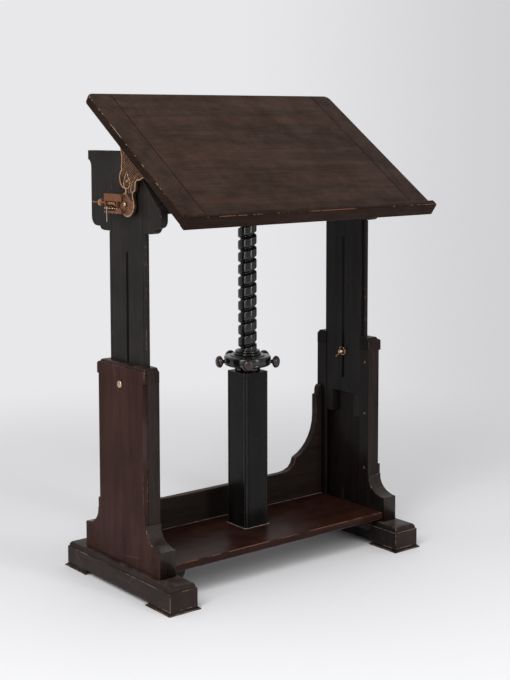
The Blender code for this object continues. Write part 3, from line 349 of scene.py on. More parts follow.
def new_material(name):
    """A new material's nodes, its object coordinates and its shader."""
    material = bpy.data.materials.new(name)
    material.use_nodes = True
    nodes = Nodes(material.node_tree)
    return nodes, nodes.add("ShaderNodeTexCoord").outputs["Object"], nodes.tree.nodes["Principled BSDF"]


def opaque(values):
    """A colour with full cover."""
    return (*values, 1.0)


def shade(values, share):
    """A darker or lighter version of a colour."""
    return tuple(v * share for v in values)


GRAIN_SCALE = 30.0
ALONG_GRAIN = 0.06
GRAIN = {
    "X": ((0.0, 0.0, 0.0), (ALONG_GRAIN, 1.0, 1.0)),
    "Y": ((0.0, 0.0, 0.0), (1.0, ALONG_GRAIN, 1.0)),
    "Z": ((0.0, 0.0, 0.0), (1.0, 1.0, ALONG_GRAIN)),
    "slope": ((-DESK_TILT, 0.0, 0.0), (1.0, ALONG_GRAIN, 1.0)),
}
HAZE_SHARE, PORE_SHARE, DIRT_AND_SHADE_SHARE, SCRATCH_SHARE = 0.24, 0.40, 0.85, 0.25
DULLED, POLISHED = 0.18, 0.12
COAT_ROUGHNESS = 0.3
BUMP_HEIGHT = 0.0004


def roughen(nodes, shader, height, strength):
    """Gives a shader a fine bump."""
    bump = nodes.add("ShaderNodeBump", {"Strength": strength, "Distance": BUMP_HEIGHT, "Height": height})
    nodes.feed(shader.inputs["Normal"], bump.outputs[0])


def wood(name, axis, stain, light, worn, gloss=0.38, wear=0.55, scratches=0.4, dust=0.10, sheen=0.10,
         depth=0.35, haze=0.08, joints=None, front=None, inner=None, front_coat=0.0):
    """Stained wood, its grain along an axis, worn and dusty; other colours on front and inner faces."""
    nodes, place, shader = new_material(name)
    turn, stretch = GRAIN[axis]
    drawn = nodes.add("ShaderNodeMapping", {"Vector": place, "Rotation": turn, "Scale": stretch}).outputs[0]
    grain = nodes.group(grain_group(), {"Vector": drawn, "Scale": GRAIN_SCALE})
    edges = nodes.group(wear_group(), {"Vector": place, "Amount": wear})
    marks = nodes.group(marks_group(), {"Vector": place, "Amount": scratches})
    dusty = nodes.group(dust_group(), {"Vector": place, "Amount": dust})["Mask"]
    if joints:
        dusty = nodes.maths("MAXIMUM", dusty, joints(nodes, place))
    base, beside, within = (
        pair and nodes.mix(grain["Figure"], *(opaque(tint) for tint in pair))
        for pair in ((stain, light), front, inner)
    )
    polish = None
    # Faces that look inwards take the inner colours: painted shade on the uprights, feet and slides.
    if inner:
        outward = nodes.group(facing_group(), {"Vector": place})["Outward"]
        if front:
            polish = nodes.span(outward, 0.55, 0.85, 1.0, 0.0)
            base = nodes.mix(polish, base, beside)
        base = nodes.mix(nodes.span(outward, -0.60, -0.30), within, base)
    # Dirt marks darken joints and quirks, in the quirks also as painted shade; pale rubbed edges are partly
    # painted highlight.
    for mask, share, tint in (
        (marks["Haze"], HAZE_SHARE, shade(stain, 0.2)), (grain["Pores"], PORE_SHARE, shade(stain, 0.35)),
        (edges["Dirt_and_shade"], DIRT_AND_SHADE_SHARE, shade(stain, 0.2)), (edges["Mask"], 1.0, worn),
        (marks["Scratches"], SCRATCH_SHARE, worn), (dusty, 1.0, bpy.context.scene.lectern_finishes.dust),
    ):
        base = nodes.mix(nodes.times(mask, share), base, opaque(tint))
    nodes.feed(shader.inputs["Base Color"], base)
    rough = nodes.span(marks["Haze"], 0.0, 1.0, gloss - haze + 0.02, gloss + haze + 0.02)
    rough = nodes.maths("ADD", rough, nodes.times(nodes.maths("MAXIMUM", edges["Mask"], dusty), DULLED))
    if polish:
        rough = nodes.maths("SUBTRACT", rough, nodes.times(polish, POLISHED))
    nodes.feed(shader.inputs["Roughness"], rough)
    shader.inputs["Specular IOR Level"].default_value = sheen
    if front_coat:
        nodes.feed(shader.inputs["Coat Weight"], nodes.times(polish, front_coat))
        shader.inputs["Coat Roughness"].default_value = COAT_ROUGHNESS
    height = nodes.maths("SUBTRACT", nodes.times(grain["Figure"], 0.35), nodes.times(grain["Pores"], 0.6))
    roughen(nodes, shader, nodes.maths("SUBTRACT", height, marks["Scratches"]), depth)


def metal(name, base, light, dark, gloss=0.5, metallic=0.7, pitting=0.5, grain=220.0, hollows=False):
    """Old metal: darker in the hollows, rubbed bright on the relief, pitted and blotched."""
    nodes, place, shader = new_material(name)
    blotch = nodes.span(nodes.noise(place, grain * 0.25, 4.0, 0.65), 0.35, 0.68)
    pits = nodes.noise(place, grain * 3.0, 3.0, 0.7)
    raised = nodes.edge()
    broken = nodes.span(nodes.noise(place, grain, 3.0), 0.25, 0.6)
    rubbed = nodes.times(nodes.span(raised, 0.25, 0.95), broken)
    tint = nodes.mix(blotch, opaque(dark), opaque(base))
    if hollows:
        tint = nodes.mix(nodes.span(raised, 0.0, 0.30, 1.0, 0.0), tint, opaque(shade(dark, 0.3)))
    tint = nodes.mix(nodes.times(nodes.span(pits, 0.55, 0.75), pitting), tint, opaque(shade(dark, 0.4)))
    nodes.feed(shader.inputs["Base Color"], nodes.mix(rubbed, tint, opaque(light)))
    rough = nodes.span(blotch, 0.0, 1.0, gloss + 0.12, gloss - 0.05)
    nodes.feed(shader.inputs["Roughness"], nodes.maths("SUBTRACT", rough, nodes.times(rubbed, POLISHED)))
    shader.inputs["Metallic"].default_value = metallic
    roughen(nodes, shader, pits, 0.4 * pitting + 0.1)


def shelf_joints(nodes, place):
    """Dust in the joint with the back board and round the foot of the post."""
    parted = nodes.parts(place)
    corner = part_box("shelf")[1]
    low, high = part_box("centre_post")
    back = nodes.span(parted["Y"], corner.y - 0.007, corner.y - 0.003)
    across = nodes.maths("ABSOLUTE", nodes.maths("SUBTRACT", parted["X"], (low.x + high.x) / 2))
    along = nodes.maths("ABSOLUTE", nodes.maths("SUBTRACT", parted["Y"], (low.y + high.y) / 2))
    out = nodes.maths("SUBTRACT", nodes.maths("MAXIMUM", across, along), (high.x - low.x) / 2)
    post = nodes.span(out, 0.0, 0.005, 1.0, 0.0)
    patchy = nodes.span(nodes.noise(place, 60.0, 4.0), 0.3, 0.6, 0.45, 0.9)
    top = nodes.span(parted["Z"], corner.z - 0.002, corner.z - 0.0005)
    return nodes.times(nodes.times(nodes.maths("MAXIMUM", back, post), patchy), top)


def make_woods(f):
    """The wooden finishes, by name."""
    # The brown finishes wear to the pale edge colour, partly a painted highlight on the arrises.
    brown = (f.brown_stain, f.brown_light, f.pale_edge_and_highlight)
    black = (f.black_stain, f.black_light, f.worn_black)
    # Deep: the post's stain, and painted shade for the slides' inner faces.
    deep = (f.deep_stain_and_inner_shade, f.deep_figure_and_inner_shade)
    desk = (f.desk_stain, f.desk_light)
    front = (f.front_stain, f.front_light)
    # Painted shade for the faces that look inwards.
    inner = (f.inner_shade, f.inner_shade_figure)
    post, cleat = ([shade(tint, share) for tint in pair] for pair, share in ((deep, 0.6), (desk, 0.85)))
    cleat_end, ledge = ([shade(tint, share) for tint in desk] for share in (0.55, 0.56))
    # The desk's rubbed edges: a darker copy of the pale edge, wear and painted highlight together.
    desk_edge_and_highlight = shade(f.pale_edge_and_highlight, 0.6)
    wood("panel_finish", "Z", *brown, wear=0.50, scratches=0.30, sheen=0.06, depth=0.25, haze=0.03,
         front=front, inner=inner)
    wood("flare_finish", "Z", *brown, gloss=0.44, wear=0.44, scratches=0.30, sheen=0.06, depth=0.2,
         front=front, inner=inner, front_coat=0.3)
    wood("foot_finish", "Y", f.foot_stain, f.foot_light, f.pale_edge_and_highlight, gloss=0.34, wear=0.50, dust=0.12,
         sheen=0.12, depth=0.2, inner=inner)
    # The slides' inner faces take the deep colours as painted shade.
    wood("slide_finish", "Z", *black, wear=0.32, scratches=0.25, inner=deep)
    wood("jamb_finish", "Z", *front, f.worn_black, gloss=0.28, wear=0.36, scratches=0.25, inner=inner)
    # The post's marked bead edges take the grey edge colour at nearly full wear, as a painted highlight.
    wood("post_finish", "Z", *post, f.bead_highlight, gloss=0.24, wear=0.9, scratches=0.2, sheen=0.13, depth=0.2)
    wood("cross_finish", "X", f.cross_stain, f.cross_light, f.bare_wood, gloss=0.40, wear=0.50,
         scratches=0.25)
    wood("bearer_finish", "Y", *black, gloss=0.45, wear=0.40)
    wood("turned_finish", "Z", f.turned_stain, f.turned_light, f.worn_black, gloss=0.12, wear=0.10,
         scratches=0.05, dust=0.02, sheen=0.58, depth=0.05, haze=0.04)
    wood("knob_finish", "Z", f.knob_stain, f.knob_light, f.pale_edge_and_highlight, gloss=0.18, wear=0.0, scratches=0.05,
         dust=0.03, sheen=0.5, depth=0.06)
    wood("shelf_finish", "X", f.shelf_stain, f.shelf_light, f.bare_wood, gloss=0.31, wear=0.62,
         scratches=0.15, dust=0.02, sheen=0.11, depth=0.06, haze=0.02, joints=shelf_joints)
    wood("desk_finish", "X", *desk, desk_edge_and_highlight, wear=0.32, scratches=0.25, dust=0.03, sheen=0.06, depth=0.12)
    wood("ledge_finish", "X", *ledge, f.bare_wood, gloss=0.36, wear=0.56, scratches=0.3, dust=0.03,
         sheen=0.05, depth=0.12)
    wood("cleat_finish", "slope", *cleat_end, desk_edge_and_highlight, gloss=0.48, wear=0.46, scratches=0.25, dust=0.03,
         sheen=0.06, depth=0.12, front=cleat, inner=cleat)


def make_metals(f):
    """The metal finishes, by name."""
    bright = tuple(min(1.0, v * 1.2) for v in f.brass)
    metal("iron_finish", f.iron, f.iron_light, shade(f.iron, 0.45), metallic=0.6, hollows=True)
    metal("rust_finish", f.rust, f.iron_light, f.iron, gloss=0.48, metallic=0.75)
    metal("spring_finish", f.iron_light, f.brass, f.rust, gloss=0.32, metallic=1.0, pitting=0.2)
    metal("pin_finish", shade(f.dust, 2.0), f.dust, f.dust, gloss=0.25, metallic=1.0, pitting=0.1)
    metal("brass_finish", f.brass, bright, f.bronze, gloss=0.28, metallic=1.0, pitting=0.15)
    metal("bronze_finish", f.bronze, f.brass, f.rust, gloss=0.32, metallic=1.0, pitting=0.2)
    metal("copper_finish", f.copper, f.iron, f.foot_stain, gloss=0.45, metallic=0.6, pitting=0.3)


def finish_material(name):
    """A finish by its name, with all of them made at the first call."""
    if name not in bpy.data.materials:
        make_woods(bpy.context.scene.lectern_finishes)
        make_metals(bpy.context.scene.lectern_finishes)
    return bpy.data.materials[name]


WELD = 0.00002
IN_PLANE = 0.0006
QUIRK_REACH = 0.0003
FLAT_CREASE, FINE_CREASE, NO_CREASE = 62.0, 50.0, 180.0


def new_piece(name, mesh, finish, body, nodes=(), crease=40.0):
    """A finished piece that rides on a body and stands for the nodes it covers, creased at sharper edges."""
    mesh.name = name
    mesh.materials.clear()
    mesh.materials.append(finish_material(finish))
    mesh.set_sharp_from_angle(angle=math.radians(crease))
    piece = bpy.data.objects.new(name, mesh)
    bpy.context.scene.collection.objects.link(piece)
    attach(piece, body)
    if nodes:
        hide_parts(*nodes)
    return piece


def new_form():
    """An empty form whose points can carry wear."""
    form = bmesh.new()
    form.verts.layers.float.new("edge")
    return form


def mark_edges(form, values):
    """Sets the wear that points carry: 1 where rubbed (some finishes paint a highlight there), -1 for dirt,
    in quirks also painted shade.
    """
    layer = form.verts.layers.float["edge"]
    for vertex, value in values.items():
        vertex[layer] = value


def soften(form, arris, angle=30.0, picked=None):
    """Rounds the sharp edges of a form and marks the new roundings for wear."""
    limit = math.radians(angle)
    sharp = [
        edge for edge in form.edges
        if len(edge.link_faces) == 2 and edge.calc_face_angle() > limit and (picked is None or picked(edge))
    ]
    made = bmesh.ops.bevel(
        form, geom=sharp, offset=arris, offset_type="OFFSET", segments=2, profile=0.5, affect="EDGES",
        clamp_overlap=True,
    )
    fresh = set(made["faces"])
    inner = {vertex for face in fresh for vertex in face.verts if all(f in fresh for f in vertex.link_faces)}
    mark_edges(form, {vertex: 1.0 for vertex in inner})


def to_mesh(*forms):
    """One or more forms as one smooth mesh."""
    whole = new_form() if len(forms) > 1 else forms[0]
    for form in forms if len(forms) > 1 else ():
        part = to_mesh(form)
        whole.from_mesh(part)
        bpy.data.meshes.remove(part)
    mesh = bpy.data.meshes.new("form")
    for face in whole.faces:
        face.smooth = True
    whole.to_mesh(mesh)
    whole.free()
    return mesh


def solid_form(node):
    """The node's own solid, welded, with its flat faces whole."""
    form = new_form()
    form.from_mesh(frame["nodes"][node].data)
    bmesh.ops.remove_doubles(form, verts=form.verts, dist=WELD)
    bmesh.ops.dissolve_limit(form, angle_limit=math.radians(0.5), verts=form.verts, edges=form.edges)
    return form


def lines_of(form, picked):
    """The edges that a test picks, as pairs of places."""
    return [[vertex.co.copy() for vertex in edge.verts] for edge in form.edges if picked(edge)]


def is_quirk(edge):
    """Whether an edge is an inward corner of a moulding."""
    return len(edge.link_faces) == 2 and edge.calc_face_angle_signed() < -math.radians(20.0)


def fill_lines(form, lines, reach):
    """Marks the points near the lines of quirks or joints for dirt, which in the quirks is also painted
    shade.
    """
    marks = {}
    for vertex in form.verts:
        for a, b in lines:
            near, share = intersect_point_line(vertex.co, a, b)
            if -0.01 < share < 1.01 and (vertex.co - near).length < reach:
                marks[vertex] = -1.0
    mark_edges(form, marks)


def show(node, form, finish):
    """Shows a form in its node's place, with broad faces flat and rounded edges smooth."""
    body = frame["nodes"][node]["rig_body"]
    piece = new_piece(node + "_finished", to_mesh(form), finish, body, [node], FLAT_CREASE)
    modifier = piece.modifiers.new("even_normals", "WEIGHTED_NORMAL")
    modifier.weight = 80
    modifier.keep_sharp = True


def moulded(node, finish, arris, angle=40.0, free=None):
    """A moulded node: its free outward edges rounded and its quirks darkened with dirt and painted shade."""
    form = solid_form(node)
    lines = lines_of(form, is_quirk)

    def picked(edge):
        return edge.calc_face_angle_signed() > 0 and (free is None or free(edge))

    soften(form, arris, angle, picked)
    fill_lines(form, lines, QUIRK_REACH)
    show(node, form, finish)


def dressed(node, finish, arris, angle=30.0, picked=None, joints=()):
    """A node's solid with rounded, wearable edges, and dirt along its joints."""
    form = solid_form(node)
    free = off_joints(*joints)
    lines = lines_of(form, lambda edge: not free(edge))
    soften(form, arris, angle, picked)
    fill_lines(form, lines, arris / 2)
    show(node, form, finish)


def off_joints(*planes):
    """A test that leaves out the edges lying in a joint, each given as an axis and a place on it."""

    def test(edge):
        return not any(
            all(abs(vertex.co[axis] - place) < IN_PLANE for vertex in edge.verts) for axis, place in planes
        )

    return test


def ring_of(form, radius, height, steps, place=Matrix.Identity(4)):
    """Points round the upright axis, or a single one on it."""
    turns = [2 * math.pi * i / steps for i in range(steps if radius else 1)]
    points = [Vector((radius * math.cos(a), radius * math.sin(a), height)) for a in turns]
    return [form.verts.new(place @ point) for point in points]


def lathe(profile, steps, place=Matrix.Identity(4)):
    """Turns a profile of radius, height and wear, from the top down, about the upright axis."""
    form = new_form()
    rings = []
    for radius, height, wear in profile:
        rings.append(ring_of(form, radius, height, steps, place))
        mark_edges(form, dict.fromkeys(rings[-1], wear))
    for upper, lower in zip(rings, rings[1:]):
        for i in range(steps):
            corners = [upper[i % len(upper)], lower[i % len(lower)]]
            corners += [lower[(i + 1) % len(lower)], upper[(i + 1) % len(upper)]]
            form.faces.new(list(dict.fromkeys(corners)))
    if len(rings[0]) > 1 and len(rings[-1]) > 1:
        for i in range(steps):
            form.faces.new((rings[-1][i], rings[0][i], rings[0][(i + 1) % steps], rings[-1][(i + 1) % steps]))
    bmesh.ops.recalc_face_normals(form, faces=form.faces)
    return form


def stacked(*levels):
    """A profile in sections, each with its heights given from a level of its own."""
    return [(radius, level + rise, wear) for level, points in levels for radius, rise, wear in points]


def rod(radius, top, bottom, *wear):
    """The profile of a plain rod."""
    return list(zip((0.0, radius, radius, 0.0), (top, top, bottom, bottom), wear))


def arc(centre, radius, start, end, count):
    """Points along part of a circle, between two angles in degrees."""
    angles = (math.radians(start + (end - start) * i / count) for i in range(count + 1))
    return [(centre[0] + radius * math.cos(a), centre[1] + radius * math.sin(a)) for a in angles]


def reach_out(node):
    """How far from the middle the inner and outer faces of a node on one side lie."""
    return sorted(abs(corner.x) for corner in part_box(node))


def along_x(sign, place):
    """Stands an upright form out along the side's own outward direction."""
    return Matrix.Translation(place) @ Matrix.Rotation(sign * math.pi / 2, 4, "Y")


def plain_mesh(holder):
    """The mesh that an object's modifiers or curve make, without the object."""
    bpy.context.scene.collection.objects.link(holder)
    graph = bpy.context.evaluated_depsgraph_get()
    mesh = bpy.data.meshes.new_from_object(holder.evaluated_get(graph))
    bpy.data.objects.remove(holder, do_unlink=True)
    return mesh


class LECTERN_OT_stand(bpy.types.Operator):
    """Feet, uprights, shelf, back board and post"""

    bl_idname = "lectern.stand"
    bl_label = "Stand"

    def execute(self, context):
        sizes = context.scene.lectern_sizes
        fine, plain = sizes.fine_arris, sizes.arris
        for side, sign in SIDES.items():
            cap = f"{side}_upright_cap"
            moulded(f"{side}_foot_bar", "foot_finish", fine)
            self.panel(f"{side}_outer_panel", sizes.panel_arris)
            moulded(cap, "panel_finish", fine, free=off_joints((2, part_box(cap)[0].z)))
            dressed(f"{side}_shelf_bearer", "bearer_finish", plain)
            for end, way in ENDS.items():
                moulded(f"{side}_{end}_foot_pad", "foot_finish", fine)
                self.upright_ends(f"{side}_{end}", sign, way, plain)
        dressed("shelf", "shelf_finish", plain)
        dressed("rear_stretcher", "cross_finish", plain)
        # The bead edges rounded here carry the post's painted highlight.
        moulded("centre_post", "post_finish", fine * 1.4, 20.0, self.bead_edge)
        return {"FINISHED"}

    def bead_edge(self, edge):
        """Whether an edge bounds a corner bead of the post, or its ends, where the post gets its painted
        highlight.
        """
        return not 30.0 < math.degrees(edge.calc_face_angle()) < 80.0

    def panel(self, node, arris):
        """A side panel whose ends run on into the foot, the flare blocks and the cap."""
        low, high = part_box(node)
        free = off_joints((2, high.z))

        def picked(edge):
            return free(edge) and all(vertex.co.z > low.z + 0.001 for vertex in edge.verts)

        dressed(node, "panel_finish", arris, picked=picked)

    def upright_ends(self, corner, sign, way, arris):
        """The flare block and the jamb at one end of an upright."""
        block, jamb = f"{corner}_flare_block", f"{corner}_jamb"
        low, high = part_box(block)
        free = off_joints((1, high.y if way < 0 else low.y), (2, low.z))
        dressed(block, "flare_finish", arris, picked=free)
        low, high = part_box(jamb)
        free = off_joints((0, sign * reach_out(jamb)[1]), (2, low.z), (2, high.z))
        dressed(jamb, "jamb_finish", arris, picked=free)


class LECTERN_OT_lift(bpy.types.Operator):
    """Sliding boards with their wings and runners, and the rail between them"""

    bl_idname = "lectern.lift"
    bl_label = "Lift"

    def execute(self, context):
        plain = context.scene.lectern_sizes.arris
        for side in SIDES:
            dressed(f"{side}_slide_board", "slide_finish", plain)
            for end in ENDS:
                dressed(f"{side}_{end}_wing", "slide_finish", plain)
                dressed(f"{side}_{end}_runner", "slide_finish", plain)
        dressed("cross_rail", "cross_finish", plain)
        return {"FINISHED"}


class LECTERN_OT_screw(bpy.types.Operator):
    """Wooden screw with a broad right-hand thread"""

    bl_idname = "lectern.screw"
    bl_label = "Screw"

    def execute(self, context):
        steps = context.scene.lectern_sizes.round_steps
        low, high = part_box("screw_spindle")
        crest, pitch, depth, phase = 0.0254, 0.033, 0.0068, 0.0015
        spigot, bury = 0.016, 0.002
        root = crest - depth
        groove = [
            (0.0, root, 0.0), (0.0013, root, 0.0), (0.0023, root + 0.0012, 0.0),
            (0.0046, crest - 0.0016, 0.1), (0.0056, crest - 0.0005, 0.5), (0.0070, crest - 0.0001, 0.3),
            (pitch * 0.3, crest, 0.0),
        ]
        profile = groove + [(pitch - rise, radius, wear) for rise, radius, wear in reversed(groove[1:])]
        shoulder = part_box("cross_rail")[0].z - SEAM
        form = self.thread(profile, pitch, low.z + phase - 2 * pitch, shoulder, steps)
        for height, way in ((low.z, -1), (shoulder, 1)):
            everything = form.verts[:] + form.edges[:] + form.faces[:]
            cut = bmesh.ops.bisect_plane(
                form, geom=everything, plane_co=(0, 0, height), plane_no=(0, 0, way), clear_outer=True
            )
            rim = [item for item in cut["geom_cut"] if isinstance(item, bmesh.types.BMEdge)]
            bmesh.ops.holes_fill(form, edges=rim)
        bmesh.ops.recalc_face_normals(form, faces=form.faces)
        end = lathe(rod(spigot, high.z, shoulder - bury, 0.0, 0.0, 0.0, 0.0), steps, ON_NUT_AXIS)
        mesh = to_mesh(form, end)
        covered = ["screw_spindle"]
        new_piece("screw_thread", mesh, "turned_finish", "lift", covered, FINE_CREASE)
        return {"FINISHED"}

    def thread(self, profile, pitch, start, top, steps):
        """An open thread that winds a profile of rise, radius and wear from a start to past a top."""
        form = new_form()
        rows = []
        turns = math.ceil((top - start) / pitch) + 2
        for i in range(steps * turns + 1):
            angle = 2 * math.pi * i / steps
            row = {}
            for rise, radius, wear in profile:
                place = (radius * math.cos(angle), radius * math.sin(angle), start + pitch * i / steps + rise)
                row[form.verts.new(ON_NUT_AXIS @ Vector(place))] = wear
            mark_edges(form, row)
            rows.append(list(row))
        for before, after in zip(rows, rows[1:]):
            for i in range(len(profile) - 1):
                form.faces.new((before[i], after[i], after[i + 1], before[i + 1]))
        bmesh.ops.remove_doubles(form, verts=form.verts, dist=WELD)
        return form


def geometry_tree(name, inputs):
    """A geometry tree that repeats a shape in a finish: the tree, its nodes and its input sockets."""
    tree = bpy.data.node_groups.new(name, "GeometryNodeTree")
    shared = {"Geometry": "NodeSocketGeometry", "Shape": "NodeSocketObject", "Finish": "NodeSocketMaterial"}
    for label, kind in {**shared, **inputs}.items():
        tree.interface.new_socket(label, in_out="INPUT", socket_type=kind)
    tree.interface.new_socket("Geometry", in_out="OUTPUT", socket_type="NodeSocketGeometry")
    nodes = Nodes(tree)
    return tree, nodes, nodes.add("NodeGroupInput").outputs


def close_tree(nodes, given, points, rotation):
    """Ends a tree with the shape on each point, turned, as real geometry in its finish."""
    shape = nodes.add("GeometryNodeObjectInfo", {"Object": given["Shape"]}).outputs["Geometry"]
    spread = {"Points": points, "Instance": shape, "Rotation": rotation}
    repeated = nodes.add("GeometryNodeInstanceOnPoints", spread)
    real = nodes.add("GeometryNodeRealizeInstances", {"Geometry": repeated.outputs[0]})
    dyed = nodes.add("GeometryNodeSetMaterial", {"Geometry": real.outputs[0], "Material": given["Finish"]})
    nodes.add("NodeGroupOutput", {"Geometry": dyed.outputs[0]})


def grown(tree, base, values):
    """The plain mesh that a geometry tree makes from a base mesh."""
    holder = bpy.data.objects.new("holder", base)
    modifier = holder.modifiers.new("grow", "NODES")
    modifier.node_group = tree
    for item in tree.interface.items_tree:
        if item.in_out == "INPUT" and item.name in values:
            modifier[item.identifier] = values[item.name]
    return plain_mesh(holder)


def pattern_object(name, mesh):
    """A hidden shape for a geometry tree to repeat."""
    shape = bpy.data.objects.new(name, mesh)
    bpy.context.scene.collection.objects.link(shape)
    shape.hide_render = True
    return shape


def ring_tree():
    """Repeats a shape, drawn on the X axis, evenly round the upright axis."""
    inputs = {"Count": "NodeSocketInt", "First": "NodeSocketFloat"}
    tree, nodes, given = geometry_tree("ring_of_shapes", inputs)
    points = nodes.add("GeometryNodeMeshLine", {"Count": given["Count"], "Offset": (0.0, 0.0, 0.0)})
    index = nodes.add("GeometryNodeInputIndex").outputs[0]
    share = nodes.maths("DIVIDE", 2 * math.pi, given["Count"])
    angle = nodes.maths("ADD", nodes.times(index, share), given["First"])
    close_tree(nodes, given, points.outputs[0], nodes.add("ShaderNodeCombineXYZ", {"Z": angle}).outputs[0])
    return tree


class LECTERN_OT_nut(bpy.types.Operator):
    """Capstan nut with its ring of knobs"""

    bl_idname = "lectern.nut"
    bl_label = "Capstan nut"

    def execute(self, context):
        steps = context.scene.lectern_sizes.round_steps
        self.ring(steps)
        self.knobs(steps // 2)
        return {"FINISHED"}

    def ring(self, steps):
        """The turned nut: a neck of two beads on a step, the ring that holds the knobs, and a foot."""
        low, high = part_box("capstan_nut")
        bore, neck, foot = 0.0262, 0.0155, 0.0145
        profile = stacked(
            (high.z, (
                (bore, 0.0, 0.0), (0.0318, 0.0, 0.2), (0.0334, -0.0010, 0.8), (0.0339, -0.0030, 0.3),
                (0.0333, -0.0052, 0.2), (0.0322, -0.0062, 0.0), (0.0355, -0.0066, 0.3),
                (0.0371, -0.0078, 0.8), (0.0374, -0.0096, 0.3), (0.0366, -0.0116, 0.1),
                (0.0358, -0.0122, 0.0), (0.0445, -0.0124, 0.2), (0.0466, -0.0130, 0.6),
                (0.0478, -0.0144, 0.2),
            )),
            (high.z - neck, (
                (0.0484, 0.0, 0.0), (0.0588, 0.0, 0.2), (0.0618, -0.0008, 0.8), (0.0634, -0.0026, 0.6),
                (0.0639, -0.0052, 0.1),
            )),
            (low.z + foot, (
                (0.0639, 0.0098, 0.0), (0.0634, 0.0086, 0.5), (0.0620, 0.0080, 0.0), (0.0618, 0.0060, 0.0),
                (0.0625, 0.0048, 0.4), (0.0610, 0.0022, 0.5), (0.0570, 0.0004, 0.2), (0.0420, -0.0010, 0.0),
                (0.0368, -0.0030, 0.0), (0.0350, -0.0064, 0.0),
            )),
            (low.z, ((0.0350, 0.0012, 0.2), (0.0342, 0.0, 0.6), (bore, 0.0, 0.0))),
        )
        mesh = to_mesh(lathe(profile, steps, ON_NUT_AXIS))
        new_piece("capstan_ring", mesh, "turned_finish", "nut", ["capstan_nut"], 55.0)

    def knobs(self, steps):
        """Turned knobs, their heads outwards, round the ring."""
        rim = 0.0615
        knob = stacked((rim, (
            (0.0, 0.0283, 0.3), (0.0055, 0.0281, 0.3), (0.0105, 0.0268, 0.5), (0.0140, 0.0242, 1.0),
            (0.0160, 0.0208, 1.0), (0.0165, 0.0178, 0.4), (0.0158, 0.0150, 0.2), (0.0128, 0.0122, 0.0),
            (0.0084, 0.0100, 0.0), (0.0060, 0.0080, 0.0), (0.0050, 0.0056, 0.0), (0.0056, 0.0030, 0.0),
            (0.0074, 0.0012, 0.2), (0.0074, 0.0003, 0.0), (0.0, 0.0003, 0.0),
        )))
        outward = Matrix.Rotation(math.pi / 2, 4, "Y")
        shape = pattern_object("knob_shape", to_mesh(lathe(knob, steps, outward)))
        nodes = [f"nut_knob_{i}" for i in range(1, 6)]
        low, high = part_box(nodes[0])
        middle = (low + high) / 2 - NUT_AXIS
        first = math.atan2(middle.y, middle.x)
        finish = finish_material("knob_finish")
        values = {"Shape": shape, "Finish": finish, "Count": len(nodes), "First": first}
        mesh = grown(ring_tree(), bpy.data.meshes.new("seed"), values)
        bpy.data.objects.remove(shape, do_unlink=True)
        mesh.transform(Matrix.Translation((NUT_AXIS.x, NUT_AXIS.y, (low.z + high.z) / 2)))
        new_piece("capstan_knobs", mesh, "knob_finish", "nut", nodes, 60.0)


class LECTERN_OT_desk(bpy.types.Operator):
    """Desk panel, end cleats and ledge"""

    bl_idname = "lectern.desk"
    bl_label = "Desk"

    def execute(self, context):
        arris = context.scene.lectern_sizes.arris
        ends = [(0, corner.x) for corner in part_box("desk_panel")]
        dressed("desk_panel", "desk_finish", arris, joints=ends)
        dressed("desk_ledge", "ledge_finish", arris, 40.0)
        for side in SIDES:
            dressed(f"{side}_desk_cleat", "cleat_finish", arris, joints=ends)
        return {"FINISHED"}


def level_place(distance):
    """A point level with the pivot, along the desk's slope and square to it."""
    return Vector((distance * math.cos(DESK_TILT), -distance * math.sin(DESK_TILT)))


LEVEL = level_place(1.0)
UPRIGHT = Vector((-LEVEL.y, LEVEL.x))
HUB_CENTRE, HUB_RADIUS, HUB_TOP = level_place(-0.0085), 0.0315, 0.024
DISC_CENTRE, DISC_RADIUS, GROOVE_RADIUS = level_place(0.0140), 0.0222, 0.0245
PIVOT_HOLE = 0.0070
BRACKET_TOP, BRACKET_ARM, BRACKET_HEEL = 0.1177, 0.117, 0.036
RIM_WIDTH, RIM_HEIGHT = 0.0020, 0.85
DISC_HEIGHT, HUB_HEIGHT, BEAD_HEIGHT = 0.35, 0.30, 0.65
GROUND_LOW, GROUND_HIGH, GROUND_MARGIN = 0.050, 0.107, 0.0042
GRAIN_STEP, GRAIN_RADIUS, GRAIN_HEIGHT = 0.0062, 0.0019, 0.64
BEAD_LINE, FIRST_BEAD, BEAD_STEP, BEAD_RADIUS, BEAD_COUNT = 0.1115, -0.024, 0.0086, 0.0032, 16


def slope_place(u, n, x):
    """A point set out along the desk's slope and square to it, from the hub."""
    c, s = math.cos(DESK_TILT), math.sin(DESK_TILT)
    return Vector((x, HUB.y + u * c - n * s, HUB.z + u * s + n * c))


def leaf_outline():
    """The bracket's outline along the desk's slope and square to it."""
    top, arm = BRACKET_TOP, BRACKET_ARM
    loop = [(arm, top), (arm * 0.85, top * 0.875)]
    loop += bow((arm * 0.70, top * 0.75), (arm * 0.628, top * 0.66), (arm * 0.590, top * 0.56), 6)
    loop += arc((0.037, 0.0545), 0.0275, 14.0, -122.0, 18)
    loop += arc(HUB_CENTRE, HUB_RADIUS, 44.0, -250.0, 48)
    loop += [(-0.0119, 0.0445), (-0.0130, 0.0480), (-0.0160, 0.0530), (-0.0154, 0.0560), (-0.0144, 0.0588)]
    loop += [(-0.0100, 0.0660), (-0.0061, 0.0723), (-0.0084, 0.0795), (-0.0176, 0.0887), (-0.0270, 0.1030)]
    loop += [(-BRACKET_HEEL, top)]
    return [Vector(point) for point in loop]


def ridge(distance, width):
    """A rounded ridge's height, from 0 to 1, at a distance from its middle line."""
    share = distance / width
    return math.sqrt(1 - share * share) if share < 1 else 0.0


